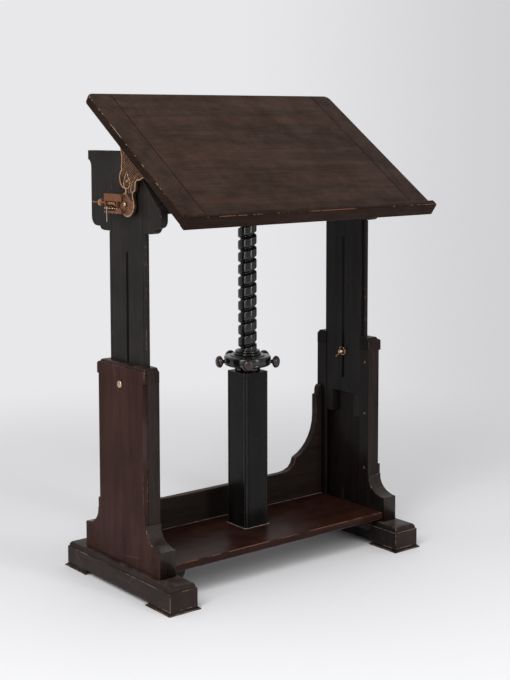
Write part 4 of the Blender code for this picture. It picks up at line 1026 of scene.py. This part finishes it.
def line_distance(point, line):
    """Distance from a point to a broken line, and how far along the line the nearest place lies."""
    best, where = 1.0, 0.0
    for i, (a, b) in enumerate(zip(line, line[1:])):
        _, share = intersect_point_line(point, a, b)
        share = min(1.0, max(0.0, share))
        gap = (point - a.lerp(b, share)).length
        if gap < best:
            best, where = gap, (i + share) / (len(line) - 1)
    return best, where


def bow(start, middle, end, count=14):
    """A curved line through three guide points."""
    a, b, c = Vector(start), Vector(middle), Vector(end)
    return [a.lerp(b, i / count).lerp(b.lerp(c, i / count), i / count) for i in range(count + 1)]


def teardrop(centre, half_width, half_height, count=36):
    """A closed drop, round below and drawn to a point above."""
    line = []
    for i in range(count + 1):
        turn = 2 * math.pi * i / count
        girth = half_width * math.sin(turn) * abs(math.sin(turn / 2)) ** 1.5
        line.append(Vector(centre) + LEVEL * girth + UPRIGHT * (half_height * math.cos(turn)))
    return line


class Ornament:
    """Relief of a drop, scrolls, rows of grains and beads and a raised rim, cast on the bracket."""

    def __init__(self, outline):
        self.rim = outline + outline[:1]
        self.drop = teardrop((0.0290, 0.0535), 0.0190, 0.0205)
        self.scrolls = [
            (self.drop, 0.0016, 0.0016, 0.85),
            (teardrop((0.0285, 0.0530), 0.0095, 0.0120), 0.0010, 0.0010, 0.5),
            (bow((-0.005, 0.040), (0.010, 0.050), (0.004, 0.070)), 0.0022, 0.0013, 0.75),
            (bow((0.003, 0.034), (0.016, 0.044), (0.012, 0.066)), 0.0018, 0.0011, 0.6),
            (bow((0.004, 0.068), (0.010, 0.088), (-0.012, 0.108)), 0.0016, 0.0011, 0.5),
            (bow((0.046, 0.074), (0.070, 0.088), (0.084, 0.107)), 0.0014, 0.0011, 0.5),
        ]
        eye = (Vector((0.0276, 0.0520)), 0.0040, 1.0)
        beads = [Vector((FIRST_BEAD + BEAD_STEP * i, BEAD_LINE)) for i in range(BEAD_COUNT)]
        self.knots = [eye] + [(bead, BEAD_RADIUS, BEAD_HEIGHT) for bead in beads]

    def grains(self, point):
        """A ground of small round grains in staggered rows."""
        rise = GRAIN_STEP * 0.866
        best = GRAIN_STEP
        row = round(point.y / rise)
        for j in (row - 1, row, row + 1):
            shift = 0.5 * GRAIN_STEP * (j % 2)
            i = round((point.x - shift) / GRAIN_STEP)
            best = min(best, (point - Vector((i * GRAIN_STEP + shift, j * rise))).length)
        return GRAIN_HEIGHT * ridge(best, GRAIN_RADIUS)

    def height(self, point):
        """Height of the relief, as a share of its full height, at a place on the plate."""
        from_disc = (point - DISC_CENTRE).length
        if from_disc < GROOVE_RADIUS:
            return DISC_HEIGHT if from_disc < DISC_RADIUS and point.length >= PIVOT_HOLE else 0.0
        on_hub = (point - HUB_CENTRE).length < HUB_RADIUS and point.y < HUB_TOP
        gap = min(line_distance(point, self.rim[i:i + 9])[0] for i in range(0, len(self.rim) - 1, 8))
        ground = HUB_HEIGHT + 0.4 * self.grains(point) if on_hub else 0.0
        levels = [ground, RIM_HEIGHT * ridge(abs(gap - RIM_WIDTH), RIM_WIDTH)]
        for line, start_width, end_width, tall in self.scrolls:
            distance, along = line_distance(point, line)
            levels.append(tall * ridge(distance, start_width + (end_width - start_width) * along))
        levels += [tall * ridge((point - centre).length, radius) for centre, radius, tall in self.knots]
        on_ground = GROUND_LOW < point.y < GROUND_HIGH and gap > GROUND_MARGIN
        if on_ground and not inside(point, self.drop):
            levels.append(self.grains(point))
        return max(levels)


def inside(point, loop):
    """Whether a point lies within a closed outline."""
    crossed = False
    for a, b in zip(loop, loop[1:] + loop[:1]):
        if (a.y > point.y) != (b.y > point.y):
            if point.x < a.x + (point.y - a.y) / (b.y - a.y) * (b.x - a.x):
                crossed = not crossed
    return crossed


def bracket_plate(step):
    """The bracket's cast plate: points along the slope and square to it, faces, and the relief at each."""
    loop = leaf_outline()
    ornament = Ornament(loop)
    points = list(loop)
    across, up = [p.x for p in loop], [p.y for p in loop]
    for j in range(int((max(up) - min(up)) / step) + 1):
        for i in range(int((max(across) - min(across)) / step) + 1):
            place = Vector((min(across) + (i + 0.5 * (j % 2)) * step, min(up) + j * step))
            if inside(place, loop) and min((place - corner).length for corner in loop) > step * 0.6:
                points.append(place)
    ring = [(i, (i + 1) % len(loop)) for i in range(len(loop))]
    flat, _, faces, *_ = delaunay_2d_cdt(points, ring, [], 1, 0.00001)
    return flat, faces, [ornament.height(Vector(p)) for p in flat]


class LECTERN_OT_brackets(bpy.types.Operator):
    """Cast tilt brackets with scroll relief, and their pivot bolts"""

    bl_idname = "lectern.brackets"
    bl_label = "Tilt brackets"

    def execute(self, context):
        sizes = context.scene.lectern_sizes
        plate = bracket_plate(sizes.relief_step)
        disc_in, disc_thick, plate_in, plate_out, proud, sunk = 0.0005, 0.0150, 0.0088, 0.0168, 0.0008, 0.0012
        disc = stacked(
            (disc_in + disc_thick, (
                (0.0, 0.0, 0.2), (0.0232, 0.0, 0.4), (0.0247, -0.0006, 1.0), (0.0250, -0.0020, 0.3),
            )),
            (disc_in, ((0.0250, 0.0012, 0.2), (0.0243, 0.0, 0.3), (0.0, 0.0, 0.0))),
        )
        bolt = stacked(
            (plate_out + proud, (
                (0.0, 0.0045, 1.0), (0.0018, 0.0044, 1.0), (0.0036, 0.0038, 1.0), (0.0050, 0.0024, 0.9),
                (0.0057, 0.0010, 0.4), (0.0058, 0.0, 0.1), (0.0040, 0.0, 0.0),
            )),
            (-0.0170, ((0.0040, 0.0, 0.0), (0.0, 0.0, 0.0))),
        )
        for side, sign in SIDES.items():
            board = reach_out(f"{side}_slide_board")[1]
            hub = along_x(sign, (sign * board, HUB.y, HUB.z))
            faces = board + plate_in, board + plate_out - sunk
            casting = self.casting(plate, sign, *faces, sizes.relief)
            mesh = to_mesh(casting, lathe(disc, sizes.round_steps, hub))
            name, node = f"{side}_bracket_casting", f"{side}_tilt_bracket"
            new_piece(name, mesh, "iron_finish", "desk", [node], FINE_CREASE)
            mesh = to_mesh(lathe(bolt, sizes.round_steps // 2, hub))
            new_piece(f"{side}_pivot_head", mesh, "iron_finish", "lift", [f"{side}_pivot_bolt"])
        return {"FINISHED"}

    def casting(self, plate, sign, inner, outer, relief):
        """The plate between two places out from the middle, with its relief on the outer face."""
        flat, faces, levels = plate
        form = new_form()
        match = {}
        for place, level in zip(flat, levels):
            front = form.verts.new(slope_place(place.x, place.y, sign * (outer + level * relief)))
            match[front] = form.verts.new(slope_place(place.x, place.y, sign * inner))
        mark_edges(form, dict(zip(match, levels)))
        front, back = list(match), list(match.values())
        for face in faces:
            form.faces.new([front[i] for i in face])
            form.faces.new([back[i] for i in reversed(face)])
        for edge in [edge for edge in form.edges if edge.is_boundary and edge.verts[0] in match]:
            a, b = edge.verts
            form.faces.new((a, b, match[b], match[a]))
        bmesh.ops.recalc_face_normals(form, faces=form.faces)
        return form


def coil_mesh(axis, start, end, radius, wire, curls):
    """A round wire coiled along Y, its turns closer at the ends."""
    curve = bpy.data.curves.new("coil", "CURVE")
    curve.dimensions = "3D"
    curve.bevel_depth = wire
    curve.bevel_resolution = 3
    curve.use_fill_caps = True
    count = curls * 24
    spline = curve.splines.new("POLY")
    spline.points.add(count)
    first, last = start + wire * 1.2, end - wire * 1.2
    for i, point in enumerate(spline.points):
        share = i / count
        turn = 2 * math.pi * curls * share
        eased = share - 0.35 * math.sin(2 * math.pi * share) / (2 * math.pi)
        y = first + (last - first) * eased
        point.co = (axis.x + radius * math.cos(turn), y, axis.z + radius * math.sin(turn), 1.0)
    mesh = plain_mesh(bpy.data.objects.new("holder", curve))
    mesh.shade_smooth()
    return mesh


BACKWARD = Matrix.Rotation(-math.pi / 2, 4, "X")


class LECTERN_OT_brakes(bpy.types.Operator):
    """Brake housings, plungers, springs and the loose pins that hang from them"""

    bl_idname = "lectern.brakes"
    bl_label = "Tilt brakes"

    def execute(self, context):
        sizes = context.scene.lectern_sizes
        for side, sign in SIDES.items():
            dressed(f"{side}_brake_housing", "rust_finish", sizes.metal_arris)
            self.plunger(side, sizes.round_steps // 2)
            inner, outer = reach_out(f"{side}_brake_housing")
            self.beaded_wire(side, sign, inner)
            self.bent_pin(side, sign, inner, outer, sizes.pin_length)
            self.spring(side, sizes)
        return {"FINISHED"}

    def plunger(self, side, steps):
        """A rod with a collar, a knob and a thin tail, laid along Y."""
        low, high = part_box(f"{side}_plunger")
        axis = (low + high) / 2
        tail, knob, collar, tip = 0.1355, 0.0915, 0.0215, 0.0
        profile = stacked(
            (tail, ((0.0, 0.0, 0.5), (0.0012, -0.0001, 0.6), (0.0020, -0.0009, 0.5))),
            (knob, (
                (0.0020, 0.0074, 0.2), (0.0044, 0.0066, 0.3), (0.0078, 0.0060, 0.9), (0.0093, 0.0048, 1.0),
                (0.0095, 0.0030, 1.0), (0.0088, 0.0010, 0.9), (0.0068, 0.0, 0.3), (0.0044, -0.0012, 0.1),
                (0.0035, -0.0030, 0.1),
            )),
            (collar, (
                (0.0035, 0.0040, 0.1), (0.0068, 0.0039, 0.5), (0.0074, 0.0034, 1.0), (0.0074, 0.0006, 1.0),
                (0.0068, 0.0001, 0.5), (0.0035, 0.0, 0.1),
            )),
            (tip, ((0.0035, 0.0006, 0.3), (0.0028, 0.0, 0.4), (0.0, 0.0, 0.2))),
        )
        mesh = to_mesh(lathe(profile, steps, Matrix.Translation((axis.x, low.y, axis.z)) @ BACKWARD))
        node = f"{side}_plunger"
        new_piece(f"{side}_brake_plunger", mesh, "rust_finish", node, [node])

    def spring(self, side, sizes):
        """The coil between the housing and the knob, which the plunger squashes in the real brake; here a
        fixed mesh of its own on the lift.
        """
        node, joint = f"{side}_plunger_spring", f"{side}_plunger_pull"
        low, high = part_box(f"{side}_plunger")
        axis = (low + high) / 2
        low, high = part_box(node)
        mesh = coil_mesh(axis, low.y, high.y, 0.0057, sizes.spring_wire, sizes.spring_curls)
        name = f"{side}_brake_spring"
        spring = new_piece(name, mesh, "spring_finish", "lift", [node], NO_CREASE)
        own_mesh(spring)

    def beaded_wire(self, side, sign, base):
        """A beaded wire on two stays, along the housing's open side."""
        steps, radius, out, drop, first, last = 12, 0.0011, 0.0085, 0.0140, HUB.y + 0.031, HUB.y + 0.109
        x, z = sign * (base + out), HUB.z - drop
        wire = rod(radius, last - first, 0.0, 0.3, 0.5, 0.5, 0.3)
        bead = [(0.0, 0.0031, 0.8), (0.0018, 0.0026, 1.0), (0.0030, 0.0009, 1.0), (0.0030, -0.0009, 1.0)]
        bead += [(0.0018, -0.0026, 1.0), (0.0, -0.0031, 0.8)]
        stay = rod(radius, 0.0088, 0.0, 0.2, 0.3, 0.2, 0.0)
        lead, bead_step, bead_count, second_stay = 0.005, 0.0114, 7, 0.0495
        strung = [(wire, first)] + [(bead, first + lead + bead_step * i) for i in range(bead_count)]
        forms = [lathe(shape, steps, Matrix.Translation((x, y, z)) @ BACKWARD) for shape, y in strung]
        forms += [lathe(stay, steps, along_x(sign, (sign * base, first + y, z))) for y in (SEAM, second_stay)]
        mesh = to_mesh(*forms)
        new_piece(f"{side}_beaded_wire", mesh, "pin_finish", "lift", crease=FINE_CREASE)

    def bent_pin(self, side, sign, base, face, long):
        """A pin that hooks over the housing and hangs down its face."""
        steps, thick, gap, y, z = 14, 0.0013, 0.0004, HUB.y + 0.070, HUB.z - 0.0096
        reach = face + thick + gap - base
        hook = rod(thick, reach + thick, 0.0, 0.6, 0.8, 0.3, 0.0)
        hang = [
            (0.0, 0.0022, 0.8), (thick * 1.5, 0.0018, 1.0), (thick * 1.5, -0.0018, 0.8),
            (thick, -0.0026, 0.6), (thick, 0.0010 - long, 0.8), (thick * 0.5, -long, 1.0), (0.0, -long, 0.8),
        ]
        mesh = to_mesh(
            lathe(hook, steps, along_x(sign, (sign * base, y, z))),
            lathe(hang, steps, Matrix.Translation((sign * (base + reach), y, z))),
        )
        new_piece(f"{side}_bent_pin", mesh, "pin_finish", "lift", crease=FINE_CREASE)


def wing_outline():
    """Half of a wing nut's leaf: distance from the axis, and height off the washer."""
    loop = [(0.0058, 0.0105), (0.0066, 0.0030), (0.0105, 0.0042), (0.0140, 0.0072)]
    loop += arc((0.0150, 0.0148), 0.0052, -70.0, 160.0, 10)
    loop += [(0.0086, 0.0132)]
    return loop


class LECTERN_OT_clamps(bpy.types.Operator):
    """Clamp bolts and their wing nuts"""

    bl_idname = "lectern.clamps"
    bl_label = "Clamps"

    def execute(self, context):
        steps = context.scene.lectern_sizes.round_steps // 2
        for side, sign in SIDES.items():
            axis = Vector(JOINTS[f"{side}_wing_nut_turn"]["pos_m"])
            bolt, nut = f"{side}_clamp_bolt", f"{side}_wing_nut"
            profile = stacked(
                (reach_out(f"{side}_outer_panel")[1] + SEAM, (
                    (0.0, 0.0040, 0.6), (0.0052, 0.0038, 0.7), (0.0080, 0.0030, 1.0), (0.0093, 0.0016, 1.0),
                    (0.0095, 0.0, 0.2), (0.0040, 0.0, 0.0),
                )),
                (reach_out(bolt)[0], ((0.0040, 0.0008, 0.2), (0.0034, 0.0, 0.6), (0.0, 0.0, 0.3))),
            )
            mesh = to_mesh(lathe(profile, steps, along_x(sign, (0.0, axis.y, axis.z))))
            new_piece(f"{side}_clamp_head", mesh, "brass_finish", "stand", [bolt])
            boss = [
                (0.0043, 0.0126, 0.3), (0.0058, 0.0125, 0.8), (0.0066, 0.0115, 0.8), (0.0074, 0.0075, 0.2),
                (0.0080, 0.0030, 0.2), (0.0085, 0.0018, 0.3), (0.0110, 0.0016, 0.6), (0.0115, 0.0011, 0.8),
                (0.0115, 0.0004, 0.5), (0.0110, 0.0, 0.2), (0.0043, 0.0, 0.0),
            ]
            turn = Matrix.Rotation(math.radians(30.0), 4, "X") @ Matrix.Rotation(-sign * math.pi / 2, 4, "Y")
            inward = Matrix.Translation((sign * reach_out(nut)[1], axis.y, axis.z)) @ turn
            mesh = to_mesh(lathe(boss, steps, inward), *(self.leaf(inward, way) for way in ENDS.values()))
            new_piece(f"{side}_clamp_wing", mesh, "bronze_finish", nut, [nut], FINE_CREASE)
        return {"FINISHED"}

    def leaf(self, place, way):
        """One flat wing of a wing nut, its edges rounded."""
        half, arris = 0.0016, 0.0007
        form = new_form()
        loop = wing_outline()
        lower, upper = [
            [form.verts.new(place @ Vector((way * out, y, height))) for out, height in loop]
            for y in (-half, half)
        ]
        form.faces.new(lower)
        form.faces.new(upper)
        for i in range(len(loop)):
            j = (i + 1) % len(loop)
            form.faces.new((lower[i], lower[j], upper[j], upper[i]))
        bmesh.ops.recalc_face_normals(form, faces=form.faces)
        soften(form, arris, 60.0)
        return form


class LECTERN_OT_fasteners(bpy.types.Operator):
    """Small slotted screws in the jambs"""

    bl_idname = "lectern.fasteners"
    bl_label = "Fasteners"

    def execute(self, context):
        shape = pattern_object("fastener_shape", to_mesh(self.head(context.scene.lectern_sizes.screw_head)))
        places = self.places()
        base = bpy.data.meshes.new("places")
        base.from_pydata([place for place, _ in places], [], [])
        facing = base.attributes.new("facing", "FLOAT_VECTOR", "POINT")
        for i, (_, way) in enumerate(places):
            facing.data[i].vector = way
        values = {"Shape": shape, "Finish": finish_material("copper_finish"), "Seed": 7}
        new_piece("stand_small_screws", grown(self.tree(), base, values), "copper_finish", "stand")
        bpy.data.objects.remove(shape, do_unlink=True)
        return {"FINISHED"}

    def tree(self):
        """Repeats a head on each place, its slot turned another way each time."""
        tree, nodes, given = geometry_tree("small_fasteners", {"Seed": "NodeSocketInt"})
        facing = nodes.add("GeometryNodeInputNamedAttribute", {"Name": "facing"}, data_type="FLOAT_VECTOR")
        way = {"Vector": facing.outputs["Attribute"]}
        upright = nodes.add("FunctionNodeAlignRotationToVector", way, axis="Z")
        index = nodes.add("GeometryNodeInputIndex").outputs[0]
        spin = nodes.times(nodes.maths("ADD", index, given["Seed"]), 2.4)
        spin = nodes.add("ShaderNodeCombineXYZ", {"Z": spin}).outputs[0]
        turns = {"Rotation": upright.outputs[0], "Rotate By": spin}
        turned = nodes.add("FunctionNodeRotateRotation", turns, rotation_space="LOCAL")
        close_tree(nodes, given, given["Geometry"], turned.outputs[0])
        return tree

    def head(self, radius):
        """A domed head with a slot, its underside at the origin."""
        shares = (
            (0.0, 0.34, 0.6), (0.55, 0.30, 0.7), (0.85, 0.18, 1.0), (1.0, 0.04, 0.4), (1.0, -0.10, 0.0),
            (0.0, -0.10, 0.0),
        )
        form = lathe([(out * radius, up * radius, wear) for out, up, wear in shares], 20)
        for vertex in form.verts:
            if abs(vertex.co.y) < radius * 0.192 and vertex.co.z > radius * 0.1:
                vertex.co.z -= radius * 0.16
        return form

    def places(self):
        """On the inner faces of the front jambs, three to each, with the way that each faces."""
        y, heights = STAND_MIDDLE - 0.092, (0.207, 0.365, 0.512)
        return [
            (Vector((sign * reach_out(f"{side}_front_jamb")[0], y, z)), Vector((-sign, 0.0, 0.0)))
            for side, sign in SIDES.items() for z in heights
        ]


def bearing(left, up):
    """The way out from the lectern at an angle left of the front and above the level."""
    return Vector((-math.sin(left) * math.cos(up), -math.cos(left) * math.cos(up), math.sin(up)))


class LECTERN_OT_stage(bpy.types.Operator):
    """Floor, lights, background and camera"""

    bl_idname = "lectern.stage"
    bl_label = "Stage"

    def execute(self, context):
        stage = context.scene.lectern_stage
        finishes = context.scene.lectern_finishes
        self.floor(stage, finishes)
        self.world(context.scene, stage, finishes)
        self.lights(stage)
        self.camera(context.scene, stage)
        context.scene.view_settings.view_transform = "Standard"
        return {"FINISHED"}

    def seen(self, nodes):
        """1 for rays that look or pass through, and 0 for rays that light."""
        path = nodes.add("ShaderNodeLightPath").outputs
        return nodes.maths("MAXIMUM", path["Is Camera Ray"], path["Is Transmission Ray"])

    def viewpoint(self, stage):
        """The camera's place, and the way from its target back to it."""
        back = bearing(stage.azimuth, stage.elevation)
        return Vector(stage.target) + back * stage.distance, back

    def backdrop(self, nodes, way, stage, finishes):
        """The background's colour along a way out from the viewpoint: duller on the right."""
        level = nodes.vectors("NORMALIZE", nodes.vectors("MULTIPLY", way, (1.0, 1.0, 0.0))[0])[0]
        right = (math.cos(stage.azimuth), -math.sin(stage.azimuth), 0.0)
        across = nodes.vectors("DOT_PRODUCT", level, right)["Value"]
        share = nodes.span(across, 0.0, 0.26)
        return nodes.mix(share, opaque(finishes.backdrop), opaque(finishes.backdrop_shade))

    def floor(self, stage, finishes):
        """A pale floor that fades into the background."""
        nodes, place, shader = new_material("studio_floor")
        shader.inputs["Base Color"].default_value = opaque(finishes.floor)
        shader.inputs["Roughness"].default_value = 0.7
        shader.inputs["Specular IOR Level"].default_value = 0.2
        fade = nodes.times(nodes.span(nodes.vectors("LENGTH", place)["Value"], 0.9, 2.6), self.seen(nodes))
        way = nodes.vectors("SUBTRACT", place, self.viewpoint(stage)[0])[0]
        glow = {"Color": self.backdrop(nodes, way, stage, finishes), "Strength": 1.0}
        glow = nodes.add("ShaderNodeEmission", glow)
        both = nodes.add("ShaderNodeMixShader", {0: fade, 1: shader.outputs[0], 2: glow.outputs[0]})
        nodes.feed(nodes.tree.nodes["Material Output"].inputs["Surface"], both.outputs[0])
        mesh = bpy.data.meshes.new("studio_floor")
        reach = 40.0
        corners = [(-reach, -reach, 0), (reach, -reach, 0), (reach, reach, 0), (-reach, reach, 0)]
        mesh.from_pydata(corners, [], [(0, 1, 2, 3)])
        mesh.materials.append(bpy.data.materials["studio_floor"])
        floor = bpy.data.objects.new("studio_floor", mesh)
        bpy.context.scene.collection.objects.link(floor)

    def world(self, scene, stage, finishes):
        """Even light for the lectern, with the background shown to the camera alone."""
        world = bpy.data.worlds.new("studio")
        scene.world = world
        world.use_nodes = True
        nodes = Nodes(world.node_tree)
        light = nodes.tree.nodes["Background"]
        light.inputs["Color"].default_value = (1.0, 1.0, 1.0, 1.0)
        light.inputs["Strength"].default_value = stage.ambient
        way = nodes.add("ShaderNodeTexCoord").outputs["Generated"]
        shown = {"Color": self.backdrop(nodes, way, stage, finishes), "Strength": 1.0}
        shown = nodes.add("ShaderNodeBackground", shown).outputs[0]
        both = nodes.add("ShaderNodeMixShader", {0: self.seen(nodes), 1: light.outputs[0], 2: shown})
        nodes.feed(nodes.tree.nodes["World Output"].inputs["Surface"], both.outputs[0])

    def lights(self, stage):
        """Soft lights that face the lectern's middle."""
        middle = Vector((0.0, 0.0, 0.65))
        for name, left, up, distance, wide, tall, power in (
            ("key_light", 61.0, 38.0, 3.2, 0.8, 2.0, stage.key_power),
            ("fill_light", -9.0, 32.0, 3.2, 0.7, 1.8, stage.fill_power),
            ("top_light", 20.0, 84.0, 2.6, 2.2, 2.2, stage.top_power),
            ("left_strip", 70.0, 12.0, 2.8, 0.4, 2.1, stage.left_strip_power),
            ("right_strip", -10.0, 12.0, 2.8, 0.4, 2.1, stage.right_strip_power),
        ):
            lamp = bpy.data.lights.new(name, "AREA")
            lamp.shape = "RECTANGLE"
            lamp.size = wide
            lamp.size_y = tall
            lamp.energy = power
            light = bpy.data.objects.new(name, lamp)
            way = bearing(math.radians(left), math.radians(up))
            light.location = middle + way * distance
            light.rotation_euler = way.to_track_quat("Z", "Y").to_euler()
            bpy.context.scene.collection.objects.link(light)

    def camera(self, scene, stage):
        """A camera at the photo's angle."""
        lens = bpy.data.cameras.new("studio_camera")
        lens.lens = stage.lens
        lens.sensor_width = 36.0
        lens.shift_x = stage.shift_x
        lens.shift_y = stage.shift_y
        camera = bpy.data.objects.new("studio_camera", lens)
        eye, back = self.viewpoint(stage)
        right = (-back).cross(Vector((0.0, 0.0, 1.0))).normalized()
        turn = Matrix((right, right.cross(-back), back)).transposed().to_4x4()
        camera.matrix_world = Matrix.Translation(eye) @ turn @ Matrix.Rotation(stage.roll, 4, "Z")
        scene.collection.objects.link(camera)
        scene.camera = camera


class LECTERN_PT_panel(bpy.types.Panel):
    """Lists the steps that dress the lectern"""

    bl_idname = "LECTERN_PT_panel"
    bl_label = "Reading lectern"
    bl_space_type = "VIEW_3D"
    bl_region_type = "UI"
    bl_category = "Lectern"

    def draw(self, context):
        for operator in OPERATORS:
            self.layout.operator(operator.bl_idname)


GROUPS = (LecternFinishes, LecternSizes, LecternStage)
OPERATORS = (
    LECTERN_OT_stage, LECTERN_OT_stand, LECTERN_OT_lift, LECTERN_OT_screw, LECTERN_OT_nut, LECTERN_OT_desk,
    LECTERN_OT_brackets, LECTERN_OT_brakes, LECTERN_OT_clamps, LECTERN_OT_fasteners,
)


def register():
    for group in (*GROUPS, *OPERATORS, LECTERN_PT_panel):
        bpy.utils.register_class(group)
    bpy.types.Scene.lectern_finishes = PointerProperty(type=LecternFinishes)
    bpy.types.Scene.lectern_sizes = PointerProperty(type=LecternSizes)
    bpy.types.Scene.lectern_stage = PointerProperty(type=LecternStage)


def unregister():
    del bpy.types.Scene.lectern_finishes
    del bpy.types.Scene.lectern_sizes
    del bpy.types.Scene.lectern_stage
    for group in reversed((*GROUPS, *OPERATORS, LECTERN_PT_panel)):
        bpy.utils.unregister_class(group)


def main():
    register()
    for operator in OPERATORS:
        section, name = operator.bl_idname.split(".")
        getattr(getattr(bpy.ops, section), name)()


if __name__ == "__main__":
    main()
